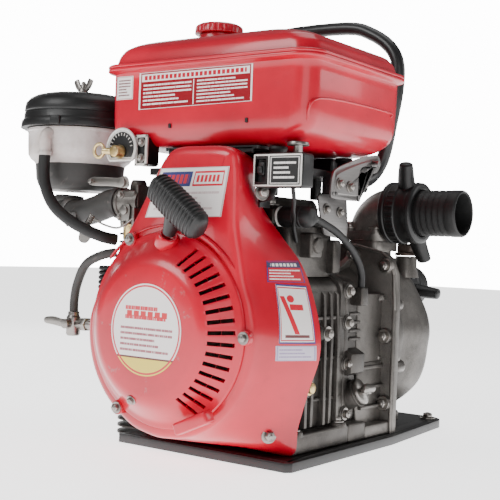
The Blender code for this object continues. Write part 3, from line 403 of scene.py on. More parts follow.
class Shape:
    """Closed shells, in millimetres, that make up one piece."""

    def __init__(self):
        self.mesh = bmesh.new()

    def skin(self, rings, closed=False, caps=True):
        """Skin rings of equal length; closed joins the last ring to the first one."""
        loops = [[self.mesh.verts.new(p) for p in ring] for ring in rings]
        pairs = list(zip(loops, loops[1:]))
        if closed:
            pairs.append((loops[-1], loops[0]))
        made = []
        for low, high in pairs:
            count = len(low)
            for i in range(count):
                j = (i + 1) % count
                made.append(self.mesh.faces.new((low[i], low[j], high[j], high[i])))
        if caps and not closed:
            made.append(self.mesh.faces.new(loops[0]))
            made.append(self.mesh.faces.new(loops[-1][::-1]))
        bmesh.ops.recalc_face_normals(self.mesh, faces=made)
        return self

    def box(self, lo, hi, round_by=0.0, turn=None):
        size = [b - a for a, b in zip(lo, hi)]
        centre = Vector([(a + b) / 2 for a, b in zip(lo, hi)])
        place = Matrix.Translation(centre)
        if turn:
            place = place @ turn
        made = bmesh.ops.create_cube(self.mesh, size=1.0,
                                     matrix=place @ Matrix.Diagonal((*size, 1.0)))
        if round_by:
            edges = {e for v in made["verts"] for e in v.link_edges}
            bmesh.ops.bevel(self.mesh, geom=list(edges), offset=round_by, segments=3,
                            profile=0.5, affect='EDGES')
        return self

    def turned(self, profile, centre, axis, sides=64):
        """Turn a profile of (along, radius); one that starts at radius 0 is solid."""
        axis, side, up = frame_of(axis)
        centre = Vector(centre)

        def ring(along, radius):
            turn = [2 * math.pi * k / sides for k in range(sides)]
            return [centre + axis * along + (side * math.cos(t) + up * math.sin(t)) * radius
                    for t in turn]

        if profile[0][1] == 0:
            return self.skin([ring(a, r) for a, r in profile[1:-1]])
        return self.skin([ring(a, r) for a, r in profile], closed=True)

    def rod(self, start, end, radius, sides=32):
        start, end = Vector(start), Vector(end)
        length = (end - start).length
        return self.turned([(0, 0), (0, radius), (length, radius), (length, 0)], start,
                           end - start, sides)

    def prism(self, outline, axis, low, high, taper=0.0):
        """Extrude an outline; axis 'y' takes (x, z), 'x' takes (y, z) and 'z' takes (x, y)."""
        def place(point, level):
            if axis == 'y':
                return (point[0], level, point[1])
            if axis == 'x':
                return (level, point[0], point[1])
            return (point[0], point[1], level)
        top = inset(outline, taper) if taper else outline
        return self.skin([[place(p, low) for p in outline], [place(p, high) for p in top]])

    def tube(self, path, radius, sides=20, bore=0.0, flat=None):
        """Sweep a circle along a path; flat=(side, up) squeezes it to an ellipse."""
        path = [Vector(p) for p in path]
        radii = radius if isinstance(radius, (list, tuple)) else [radius] * len(path)
        wide, high = flat or (1.0, 1.0)

        def rings(offsets):
            result = []
            side = None
            for i, point in enumerate(path):
                ahead = path[min(i + 1, len(path) - 1)] - path[max(i - 1, 0)]
                ahead.normalize()
                if side is None:
                    side = frame_of(ahead)[1]
                side = (side - ahead * side.dot(ahead)).normalized()
                up = ahead.cross(side)
                turn = [2 * math.pi * k / sides for k in range(sides)]
                result.append([point + side * math.cos(t) * offsets[i] * wide
                               + up * math.sin(t) * offsets[i] * high for t in turn])
            return result

        if bore:
            return self.skin(rings(radii) + rings([bore] * len(path))[::-1], closed=True)
        return self.skin(rings(radii))


def to_mesh(shape, name):
    bmesh.ops.scale(shape.mesh, vec=(MM, MM, MM), verts=shape.mesh.verts)
    bmesh.ops.remove_doubles(shape.mesh, verts=shape.mesh.verts, dist=1e-7)
    mesh = bpy.data.meshes.new(name)
    shape.mesh.to_mesh(mesh)
    shape.mesh.free()
    return mesh


def link(name, mesh):
    made = bpy.data.objects.new(name, mesh)
    bpy.context.scene.collection.objects.link(made)
    return made


def flatten(obj):
    """Turn the object with its modifiers into a plain mesh."""
    graph = bpy.context.evaluated_depsgraph_get()
    mesh = bpy.data.meshes.new_from_object(obj.evaluated_get(graph))
    obj.modifiers.clear()
    obj.data = mesh
    return obj


def carve(obj, tool, self_crossing=True):
    """Cut a tool object from a piece for good, and drop the tool."""
    step = obj.modifiers.new("step", 'BOOLEAN')
    step.operation = 'DIFFERENCE'
    step.solver = 'EXACT'
    step.use_self = self_crossing
    step.object = tool
    flatten(obj)
    bpy.data.objects.remove(tool)


def paint_over(obj, material):
    obj.data.materials.clear()
    obj.data.materials.append(material)


def finish(obj, material, stands_for=(), body="root", bevel=0.6, segments=2, angle=38):
    """Round the edges, shade, paint and place one piece on its body."""
    paint_over(obj, material)
    if bevel:
        rounding = obj.modifiers.new("rounding", 'BEVEL')
        rounding.width = bevel * MM
        rounding.segments = segments
        rounding.limit_method = 'ANGLE'
        rounding.angle_limit = math.radians(angle)
        rounding.use_clamp_overlap = True
        rounding.harden_normals = False
        flatten(obj)
        paint_over(obj, material)
    for face in obj.data.polygons:
        face.material_index = 0
    obj.data.shade_smooth()
    obj.data.set_sharp_from_angle(angle=math.radians(angle))
    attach(obj, body)
    if stands_for:
        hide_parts(*stands_for)
    return obj


def piece(name, shape, material, stands_for=(), cuts=(), **finishing):
    obj = link(name, to_mesh(shape, name))
    for cut in cuts:
        carve(obj, link("tool", to_mesh(cut, "tool")))
    return finish(obj, material, stands_for, **finishing)


# ---------------------------------------------------------------- node-built repeats

def node_tree(name, inputs):
    """An empty geometry tree with named inputs."""
    tree = bpy.data.node_groups.new(name, 'GeometryNodeTree')
    tree.interface.new_socket("Geometry", in_out='INPUT', socket_type='NodeSocketGeometry')
    tree.interface.new_socket("Geometry", in_out='OUTPUT', socket_type='NodeSocketGeometry')
    for label, (kind, value) in inputs.items():
        made = tree.interface.new_socket(label, in_out='INPUT', socket_type="NodeSocket" + kind)
        made.default_value = value
    return tree


class Grower:
    """Adds nodes to a geometry tree and ends it."""

    def __init__(self, name, inputs):
        self.tree = node_tree(name, inputs)
        self.entry = self.tree.nodes.new("NodeGroupInput")

    def given(self, label):
        return self.entry.outputs[label]

    def put(self, kind, settings=None, values=None, output=0):
        """Add a node: its settings first, then the values or links of its sockets."""
        made = self.tree.nodes.new(kind)
        for key, value in (settings or {}).items():
            setattr(made, key, value)
        for key, value in (values or {}).items():
            socket = made.inputs[key]
            if hasattr(value, "is_output"):
                self.tree.links.new(value, socket)
            else:
                socket.default_value = value
        return made.outputs[output]

    def maths(self, operation, *values):
        return self.put("ShaderNodeMath", {"operation": operation}, dict(enumerate(values)))

    def along(self, **parts):
        return self.put("ShaderNodeCombineXYZ", None, parts)

    def join(self, *parts):
        joined = self.tree.nodes.new("GeometryNodeJoinGeometry")
        for part in parts:
            self.tree.links.new(part, joined.inputs[0])
        return joined.outputs[0]

    def seed_curve(self):
        return self.put("GeometryNodeMeshToCurve", None, {"Mesh": self.given("Geometry")})

    def on_seeds(self, instance):
        """A copy at each seed point, turned along the seed's aim."""
        aim = self.put("GeometryNodeInputNamedAttribute", {"data_type": 'FLOAT_VECTOR'},
                       {"Name": "aim"}, "Attribute")
        turn = self.put("FunctionNodeAlignRotationToVector", {"axis": 'Z'}, {"Vector": aim})
        return self.put("GeometryNodeInstanceOnPoints", None,
                        {"Points": self.given("Geometry"), "Instance": instance,
                         "Rotation": turn})

    def end(self, geometry, material):
        real = self.put("GeometryNodeRealizeInstances", None, {"Geometry": geometry})
        painted = self.put("GeometryNodeSetMaterial", None,
                           {"Geometry": real, "Material": material})
        leave = self.tree.nodes.new("NodeGroupOutput")
        self.tree.links.new(painted, leave.inputs[0])
        return self.tree


def grow(name, tree, seeds, values=None, aims=None):
    """Run a tree on seed points (millimetres) and keep the result as a plain object."""
    mesh = bpy.data.meshes.new(name)
    edges = [(i, i + 1) for i in range(len(seeds) - 1)]
    mesh.from_pydata([Vector(p) * MM for p in seeds], edges, [])
    if aims:
        store = mesh.attributes.new("aim", 'FLOAT_VECTOR', 'POINT')
        store.data.foreach_set("vector", [c for a in aims for c in Vector(a).normalized()])
    obj = link(name, mesh)
    step = obj.modifiers.new("grow", 'NODES')
    step.node_group = tree
    sockets = {s.name: s.identifier for s in tree.interface.items_tree if s.in_out == 'INPUT'}
    for label, value in (values or {}).items():
        step[sockets[label]] = value
    return flatten(obj)


def fastener_tree(material):
    """A hexagon head on a washer at each seed point, turned along its aim."""
    g = Grower("fasteners", {"Across": ("Float", 0.008), "Height": ("Float", 0.0045),
                             "Washer": ("Float", 0.0012)})
    across, height, washer = (g.given(label) for label in ("Across", "Height", "Washer"))

    def disc(sides, share, depth, level, top_share=1.0):
        radius = g.maths('MULTIPLY', across, share)
        cone = g.put("GeometryNodeMeshCone", {"fill_type": 'NGON'},
                     {"Vertices": sides, "Radius Top": g.maths('MULTIPLY', radius, top_share),
                      "Radius Bottom": radius, "Depth": depth}, "Mesh")
        return g.put("GeometryNodeTransform", None,
                     {"Geometry": cone, "Translation": g.along(Z=level)})

    shoulder = g.maths('MULTIPLY', height, 0.82)
    crown = g.maths('MULTIPLY', height, 0.18)
    plate = disc(24, 0.88, washer, 0.0)
    head = disc(6, 0.577, shoulder, washer)
    cap = disc(6, 0.577, crown, g.maths('ADD', washer, shoulder), 0.8)
    stub_end = disc(16, 0.3, crown, g.maths('ADD', washer, height), 0.8)
    return g.end(g.on_seeds(g.join(stub_end, cap, head, plate)), material)


def hose_tree(material):
    """A round hose along the seed path."""
    g = Grower("hoses", {"Radius": ("Float", 0.006), "Sides": ("Int", 24),
                         "Step": ("Float", 0.0015)})
    even = g.put("GeometryNodeResampleCurve", {"mode": 'LENGTH'},
                 {"Curve": g.seed_curve(), "Length": g.given("Step")})
    sized = g.put("GeometryNodeSetCurveRadius", None,
                  {"Curve": even, "Radius": g.given("Radius")})
    outline = g.put("GeometryNodeCurvePrimitiveCircle", None,
                    {"Resolution": g.given("Sides"), "Radius": 1.0})
    sweep = g.put("GeometryNodeCurveToMesh", None,
                  {"Curve": sized, "Profile Curve": outline, "Fill Caps": True})
    entry = sweep.node.inputs
    if "Scale" in entry:
        g.tree.links.new(g.put("GeometryNodeInputRadius"), entry["Scale"])
    return g.end(sweep, material)


def fin_tree(material):
    """Copies of a flat outline, given as the seed loop, stacked one above another."""
    g = Grower("fins", {"Count": ("Int", 5), "Pitch": ("Float", 0.009),
                        "Thickness": ("Float", 0.0035)})
    loop = g.put("GeometryNodeSetSplineCyclic", None,
                 {"Geometry": g.seed_curve(), "Cyclic": True})
    plate = g.put("GeometryNodeFillCurve", {"mode": 'NGONS'}, {"Curve": loop})
    thick = g.put("GeometryNodeExtrudeMesh", {"mode": 'FACES'},
                  {"Mesh": plate, "Offset Scale": g.given("Thickness"), "Individual": False})
    under = g.put("GeometryNodeFlipFaces", None, {"Mesh": plate})
    closed = g.put("GeometryNodeMergeByDistance", None,
                   {"Geometry": g.join(under, thick), "Distance": 1e-6})
    line = g.put("GeometryNodeMeshLine", None,
                 {"Count": g.given("Count"), "Offset": g.along(Z=g.given("Pitch"))})
    stack = g.put("GeometryNodeInstanceOnPoints", None, {"Points": line, "Instance": closed})
    return g.end(stack, material)


def coil_tree(material):
    """A wound wire spring standing on its first seed point."""
    g = Grower("springs", {"Turns": ("Float", 8.0), "Radius": ("Float", 0.004),
                           "Length": ("Float", 0.02), "Wire": ("Float", 0.0007)})
    spiral = g.put("GeometryNodeCurveSpiral", None,
                   {"Resolution": 24, "Rotations": g.given("Turns"),
                    "Start Radius": g.given("Radius"), "End Radius": g.given("Radius"),
                    "Height": g.given("Length")})
    wire = g.put("GeometryNodeCurvePrimitiveCircle", None,
                 {"Resolution": 8, "Radius": g.given("Wire")})
    sweep = g.put("GeometryNodeCurveToMesh", None,
                  {"Curve": spiral, "Profile Curve": wire, "Fill Caps": True})
    return g.end(g.on_seeds(sweep), material)


def cooling_slot_tree(material):
    """One row of bars round the crank axis, used to cut the cooling slots."""
    g = Grower("radial_bars", {"Count": ("Int", 17), "First Angle": ("Float", 1.0),
                               "Step Angle": ("Float", -0.13), "Size": ("Vector", (0.01,) * 3),
                               "Lean": ("Float", 0.0), "Radius": ("Float", 0.08)})
    line = g.put("GeometryNodeMeshLine", None,
                 {"Count": g.given("Count"), "Offset": (0.0, 0.0, 0.0)})
    angle = g.maths('MULTIPLY_ADD', g.put("GeometryNodeInputIndex"), g.given("Step Angle"),
                    g.given("First Angle"))
    bar = g.put("GeometryNodeMeshCube", None, {"Size": g.given("Size")})
    out = g.put("GeometryNodeTransform", None,
                {"Geometry": bar, "Rotation": g.along(Z=g.given("Lean")),
                 "Translation": g.along(X=g.given("Radius"))})
    turn = g.along(Y=g.maths('MULTIPLY', angle, -1.0))
    rotation = g.put("FunctionNodeEulerToRotation", None, {"Euler": turn})
    ring = g.put("GeometryNodeInstanceOnPoints", None,
                 {"Points": line, "Instance": out, "Rotation": rotation})
    seed = g.put("GeometryNodeSampleIndex", {"data_type": 'FLOAT_VECTOR'},
                 {"Geometry": g.given("Geometry"), "Value": g.put("GeometryNodeInputPosition")})
    moved = g.put("GeometryNodeTransform", None, {"Geometry": ring, "Translation": seed})
    return g.end(moved, material)


# ---------------------------------------------------------------- the finishes of this engine

RED_PAINT = enamel("red_enamel", (0.46, 0.0, 0.016), (0.64, 0.0, 0.026), coat=0.35, roughness=0.3)
BLACK_PAINT = enamel("black_enamel", (0.003, 0.003, 0.0035), (0.009, 0.0085, 0.009), coat=0.2,
                     roughness=0.42, chip=(0.22, 0.19, 0.17), worn=0.5)
CAST = casting("cast_aluminium", (0.025, 0.022, 0.02), (0.13, 0.12, 0.11))
CAST_PALE = casting("pale_casting", (0.06, 0.055, 0.05), (0.22, 0.205, 0.19), grime_level=0.52)
FIN_CAST = casting("fin_casting", (0.014, 0.012, 0.011), (0.055, 0.048, 0.042), grime_level=0.48)
PLATED = plated("zinc_plating", (0.33, 0.31, 0.29))
BRACKET_STEEL = plated("bracket_steel", (0.24, 0.23, 0.225), roughness=0.38, stained=0.2)
GROUND_STEEL = plated("ground_steel", (0.55, 0.55, 0.56), roughness=0.2, stained=0.1)
DARK_IRON = casting("stained_iron", (0.05, 0.035, 0.03), (0.13, 0.095, 0.08), metal=0.5,
                    roughness=0.55, grime_level=0.5)
BLACK_PLASTIC = moulded("black_plastic", (0.002, 0.002, 0.0022), roughness=0.4, dusty=0.03,
                        coat=0.05, scuff=0.12)
BLACK_RUBBER = moulded("black_rubber", (0.005, 0.005, 0.005), roughness=0.5, dusty=0.06,
                       relief_depth=0.35, scuff=0.2)
GREY_RUBBER = moulded("grey_rubber", (0.035, 0.033, 0.031), roughness=0.5, dusty=0.2)
CERAMIC = moulded("glazed_ceramic", (0.78, 0.76, 0.72), roughness=0.15, relief_depth=0.03,
                  coat=0.6, dust=(0.4, 0.35, 0.3))
MILKY = milky_plastic("milky_plastic")
FOAM = open_foam("filter_foam")
BRASS = brass_finish("satin_brass")


def bars(u, v, rows, low, high, left, right):
    """Rows of plain bars of uneven length, such as a printed panel has at a distance."""
    line = (v - low) / (high - low) * rows
    stripe = line.repeat().between(0.28, 0.72)
    paint = u.paint
    row = paint.maths("FLOOR", line)
    seed = paint.vector(row * 3.7, row * 1.9, 0.0)
    length = paint.noise(7.0, 0.0, 0.5, vector=seed)
    reach = right - (right - left) * length.rise(0.42, 0.72) * 0.35
    gaps = paint.noise(90.0, 1.0, 0.5, vector=paint.vector(u, row * 5.0, 0.0)).rise(0.36, 0.44)
    inside = u.above(left) * paint.maths("LESS_THAN", u, reach) * v.between(low, high)
    return stripe * inside * gaps


def decal(name, layers, ground, gloss=0.35, metal=0.0):
    """A printed panel: layers are (mask maker, colour) over a ground colour."""
    paint = Finish(name)
    u, v = paint.uv()
    fade = paint.noise(40.0, 5.0, 0.65)
    colour = paint.blend(fade.rise(0.3, 0.8) * 0.3, ground, tuple(c * 0.72 for c in ground))
    for mask, ink in layers:
        colour = paint.blend(mask(u, v), colour, ink)
    scuff = paint.noise(160.0, 6.0, 0.75).rise(0.6, 0.75)
    colour = paint.blend(scuff * 0.3, colour, (0.35, 0.3, 0.28))
    return paint.set(Base_Color=colour, Roughness=scuff * 0.3 + gloss, Metallic=metal,
                     Coat_Weight=0.2, Normal=paint.bump(scuff, 0.1, 0.0002))


def border(u, v, low, high):
    """A thin frame line between two distances from the panel's edge."""
    across = (u - 0.5).size().either((v - 0.5).size())
    return across.between(0.5 - high, 0.5 - low)


WHITE = (0.86, 0.82, 0.80)
INK = (0.16, 0.05, 0.05)
INK_RED = (0.62, 0.01, 0.03)
INK_BLUE = (0.03, 0.05, 0.22)

TANK_PANEL = decal("tank_panel", (
    (lambda u, v: border(u, v, 0.0, 0.014).either(
        (u - 0.5).size().below(0.004) * v.between(0.04, 0.72)), WHITE),
    (lambda u, v: v.between(0.75, 0.95) * u.between(0.025, 0.975), WHITE),
    (lambda u, v: v.between(0.79, 0.91) * u.between(0.05, 0.95)
     * (u * 26.0).repeat().above(0.3), (0.45, 0.0, 0.02)),
    (lambda u, v: bars(u, v, 6, 0.08, 0.70, 0.04, 0.48), WHITE),
    (lambda u, v: bars(u, v, 7, 0.06, 0.71, 0.53, 0.96), WHITE),
), (0.26, 0.0, 0.008), gloss=0.3)

SMALL_PANEL = decal("small_panel", (
    (lambda u, v: border(u, v, 0.02, 0.05), (0.5, 0.35, 0.33)),
    (lambda u, v: bars(u, v, 6, 0.12, 0.88, 0.15, 0.85), INK),
), WHITE)

SHROUD_PANEL = decal("shroud_panel", (
    (lambda u, v: border(u, v, 0.0, 0.018), (0.55, 0.42, 0.42)),
    (lambda u, v: v.between(0.62, 0.92) * u.between(0.05, 0.50), (0.03, 0.04, 0.16)),
    (lambda u, v: v.between(0.68, 0.86) * u.between(0.09, 0.46) * (u * 16.0).repeat().above(0.3),
     (0.60, 0.02, 0.04)),
    (lambda u, v: v.between(0.62, 0.92) * u.between(0.53, 0.95)
     * (v.between(0.66, 0.88) * u.between(0.545, 0.935)).below(0.5), INK_RED),
    (lambda u, v: v.between(0.70, 0.84) * u.between(0.57, 0.91) * (u * 18.0).repeat().above(0.35),
     INK_RED),
    (lambda u, v: bars(u, v, 4, 0.12, 0.54, 0.08, 0.92), (0.62, 0.50, 0.50)),
), WHITE)

STRIPED_PANEL = decal("striped_panel", (
    (lambda u, v: border(u, v, 0.0, 0.03), INK_BLUE),
    (lambda u, v: v.between(0.68, 0.94), (0.05, 0.05, 0.12)),
    (lambda u, v: v.between(0.74, 0.88) * u.between(0.1, 0.9) * (u * 9.0).repeat().above(0.3),
     WHITE),
    (lambda u, v: bars(u, v, 4, 0.08, 0.62, 0.06, 0.94), WHITE),
), (0.55, 0.01, 0.03))

SERVICE_PANEL = decal("service_panel", (
    (lambda u, v: border(u, v, 0.0, 0.028), INK_BLUE),
    (lambda u, v: border(u, v, 0.045, 0.065), (0.55, 0.01, 0.03)),
    (lambda u, v: (u + v * 0.55).between(0.52, 0.66) * v.between(0.16, 0.80), INK_RED),
    (lambda u, v: (u - 0.55).size().below(0.20) * (v - 0.62).size().below(0.05), INK_RED),
    (lambda u, v: ((u - 0.40) * (u - 0.40) + (v - 0.76) * (v - 0.76) * 3.0).below(0.012), INK_RED),
    (lambda u, v: u.between(0.16, 0.84) * v.between(0.10, 0.15), INK),
), WHITE)

STICKER = decal("silver_sticker", (
    (lambda u, v: border(u, v, 0.02, 0.06), (0.3, 0.25, 0.4)),
    (lambda u, v: bars(u, v, 3, 0.15, 0.85, 0.08, 0.92), (0.28, 0.22, 0.36)),
), (0.52, 0.48, 0.58), gloss=0.3, metal=0.3)

def disc_panel(name):
    """Round starter label: a thin ring, bars of print and a coloured segment at the foot."""
    paint = Finish(name)
    u, v = paint.uv()
    x, y = u - 0.5, v - 0.5
    reach = paint.maths("SQRT", x * x + y * y)
    colour = paint.blend(paint.noise(30.0, 4.0) * 0.25, (0.90, 0.86, 0.84), (0.75, 0.70, 0.70))
    colour = paint.blend(y.below(-0.3), colour, (0.80, 0.62, 0.08))
    colour = paint.blend(y.between(-0.315, -0.295), colour, (0.12, 0.02, 0.02))
    red_rows = bars(u, v, 2, 0.58, 0.78, 0.2, 0.82)
    colour = paint.blend(red_rows, colour, INK_RED)
    colour = paint.blend(bars(u, v, 5, 0.24, 0.54, 0.14, 0.88), colour, (0.35, 0.1, 0.12))
    blocks = v.between(0.635, 0.70) * u.between(0.22, 0.8) * (u * 10.0).repeat().above(0.25)
    colour = paint.blend(blocks, colour, (0.62, 0.01, 0.02))
    colour = paint.blend(reach.between(0.465, 0.485), colour, INK_RED)
    scuff = paint.noise(140.0, 6.0, 0.75).rise(0.6, 0.75)
    colour = paint.blend(scuff * 0.25, colour, (0.4, 0.32, 0.3))
    return paint.set(Base_Color=colour, Roughness=scuff * 0.3 + 0.32, Coat_Weight=0.25,
                     Normal=paint.bump(scuff, 0.1, 0.0002))


DISC_PANEL = disc_panel("disc_panel")

FASTENERS = fastener_tree(PLATED)
BLACK_HOSES = hose_tree(BLACK_RUBBER)
GREY_HOSES = hose_tree(GREY_RUBBER)
BLACK_TUBES = hose_tree(BLACK_PAINT)
FINS = fin_tree(FIN_CAST)
SPRINGS = coil_tree(PLATED)
RADIAL_BARS = cooling_slot_tree(RED_PAINT)


def bolts(name, places, across=8.0, height=4.5):
    """One set of hexagon heads; places are (foot, axis)."""
    heads = grow(name, FASTENERS, [foot for foot, _ in places],
                 {"Across": across * MM, "Height": height * MM, "Washer": 1.3 * MM},
                 [axis for _, axis in places])
    return finish(heads, PLATED, bevel=0.25, segments=1)


def hose(name, path, radius, tree, material, stands_for=(), step=1.6, sides=28):
    made = grow(name, tree, path, {"Radius": radius * MM, "Step": step * MM, "Sides": sides})
    return finish(made, material, stands_for, bevel=0, angle=50)


def thicken(name, mesh, depth, material):
    """Give a flat printed sheet its thickness and finish it."""
    data = bpy.data.meshes.new(name)
    mesh.to_mesh(data)
    mesh.free()
    sheet = link(name, data)
    thick = sheet.modifiers.new("thick", 'SOLIDIFY')
    thick.thickness = depth * MM
    thick.offset = -1.0
    flatten(sheet)
    return finish(sheet, material, bevel=0)


def panel(name, corners, material, outward, target=None):
    """A printed sheet on a face; corners run top left, top right, bottom right, bottom left."""
    mesh = bmesh.new()
    layer = mesh.loops.layers.uv.new("face")
    top_left, top_right, low_right, low_left = (Vector(c) for c in corners)
    normal = Vector(outward).normalized()
    tree = BVHTree.FromObject(target, bpy.context.evaluated_depsgraph_get()) if target else None
    steps, lift = 10, 0.35
    grid = []
    for j in range(steps + 1):
        row = []
        for i in range(steps + 1):
            s, t = i / steps, j / steps
            point = (low_left.lerp(low_right, s)).lerp(top_left.lerp(top_right, s), t)
            if tree:
                hit = tree.ray_cast((point + normal * 40) * MM, -normal)[0]
                if hit:
                    point = hit / MM
            row.append(mesh.verts.new((point + normal * lift) * MM))
        grid.append(row)
    for j in range(steps):
        for i in range(steps):
            cell = ((i, j), (i + 1, j), (i + 1, j + 1), (i, j + 1))
            face = mesh.faces.new([grid[b][a] for a, b in cell])
            for loop, (a, b) in zip(face.loops, cell):
                loop[layer].uv = (a / steps, b / steps)
    mesh.normal_update()
    mesh.faces.ensure_lookup_table()
    if mesh.faces[0].normal.dot(normal) < 0:
        bmesh.ops.reverse_faces(mesh, faces=mesh.faces)
    return thicken(name, mesh, 0.3, material)


# ---------------------------------------------------------------- base plate

def base_plate():
    corner = 26.0
    front, rear = 110.0, 90.0
    outline = [(-front, -215), (front - 5, -215), (front, -209), (front - 4, 0)]
    for side, start in ((1, 0), (-1, 90)):
        for k in range(13):
            x, y = polar(corner, start + 90 * k / 12, (side * (rear - corner), 172 - corner))
            outline.append((x, y))
    outline.append((-front + 4, 0))
    shape = Shape().prism(outline, 'z', 0, 9.2)
    shape.prism(inset(outline, 6), 'z', 9.0, 10.0, 1.0)
    piece("base_plate_body", shape, BLACK_PAINT, ["base_plate"], bevel=1.4)
    places = [((x, 150, 10.0), (0, 0, 1)) for x in (-74, 74)]
    bolts("base_bolts", places, across=11, height=5)


# ---------------------------------------------------------------- shroud and recoil starter

def shroud_outlines():
    front = [(-12, 22), (20, 27), (50, 42), (74, 66), (90, 98), (95, 130), (91, 156), (82, 180),
             (75, 208), (69, 235), (68, 264), (66, 292), (58, 308), (22, 311), (-14, 308),
             (-34, 285), (-55, 248), (-80, 209), (-104, 170), (-119, 132), (-114, 92), (-93, 57),
             (-60, 32), (-35, 24)]
    rear = [(-5, 12), (50, 12), (95, 12), (101, 40), (112, 78), (122, 108), (122, 135), (112, 170),
            (97, 200), (72, 227), (50, 252), (38, 275), (34, 304), (8, 308), (-22, 304),
            (-48, 275), (-75, 235), (-103, 195), (-124, 155), (-132, 120), (-125, 80), (-108, 40),
            (-96, 12), (-50, 12)]
    return flat_curve(front, 6), flat_curve(rear, 6)


def towards_crank(outline, radius):
    ring = []
    for x, z in outline:
        ring.append(polar(radius, math.degrees(math.atan2(z - CRANK_Z, x - CRANK_X))))
    return ring


def mix_lines(one, other, share):
    return [(a[0] + (b[0] - a[0]) * share, a[1] + (b[1] - a[1]) * share)
            for a, b in zip(one, other)]


def fan_shroud():
    front, rear = shroud_outlines()
    face, back = SHROUD_FRONT_Y, SHROUD_REAR_Y
    sheet = 2.2
    depth = back - face - 9
    outside = [(face + 1.2, towards_crank(front, 82)), (face, towards_crank(front, 83.5)),
               (face, mix_lines(towards_crank(front, 83.5), inset(front, 10), 0.5)),
               (face, inset(front, 10.5))]
    for k in range(1, 7):
        turn = math.radians(90 * k / 6)
        outside.append((face + 9 * (1 - math.cos(turn)) * 0.9,
                        inset(front, 10.5 * (1 - math.sin(turn)))))
    for k in range(1, 9):
        share = k / 8
        bulge = 1.4 * math.sin(math.pi * share)
        outside.append((face + 9 + depth * share, inset(mix_lines(front, rear, share), -bulge)))
    outside.append((back, inset(rear, 0.2)))
    inside = [(y + (sheet if i < 7 else 0), inset(line, sheet if i > 3 else 0.6))
              for i, (y, line) in enumerate(outside)][::-1]
    rings = [[(x, y, z) for x, z in line] for y, line in outside + inside]
    shroud = piece("fan_shroud_shell", Shape().skin(rings, closed=True), RED_PAINT,
                   ["fan_shroud"], bevel=0, angle=50)

    # a pressed step follows the drum where it runs into the duct
    step = []
    for k in range(41):
        x, z = polar(103, 140 - 2.55 * k)
        step.append((x, face - 0.4, z))
    ridge = Shape().tube(step, [0.4] + [2.3] * 39 + [0.4], 14, flat=(1.0, 0.6))
    piece("shroud_ridges", ridge, RED_PAINT, bevel=0)
    panel("shroud_print", [(-24, face - 0.2, 289), (61, face - 0.2, 290),
                           (53, face - 0.2, 242), (-43, face - 0.2, 240)], SHROUD_PANEL,
          (0, -1, 0))
    side = (1.0, -0.42, 0.0)
    panel("striped_print", [(83.5, -230, 202), (99, -192, 203), (104.5, -192, 182),
                            (88.5, -234, 182)], STRIPED_PANEL, side, shroud)
    panel("service_print", [(92, -226, 180.5), (108, -193, 179), (120.5, -193.5, 124),
                            (103.5, -232, 124.5)], SERVICE_PANEL, side, shroud)
    panel("silver_print", [(102, -235, 122.5), (120.6, -192.5, 122), (120, -190.5, 107.5),
                           (101, -233, 108)], STICKER, side, shroud)
    bolts("shroud_bolts", [((84.5, -214, 33), (0.86, -0.5, -0.05)),
                           ((-100, -214, 40), (-0.86, -0.5, -0.05)),
                           ((70.5, -222, 268), (0.92, -0.4, 0.05)),
                           ((-41, -222, 280), (-0.86, -0.4, 0.3))], across=9, height=5)


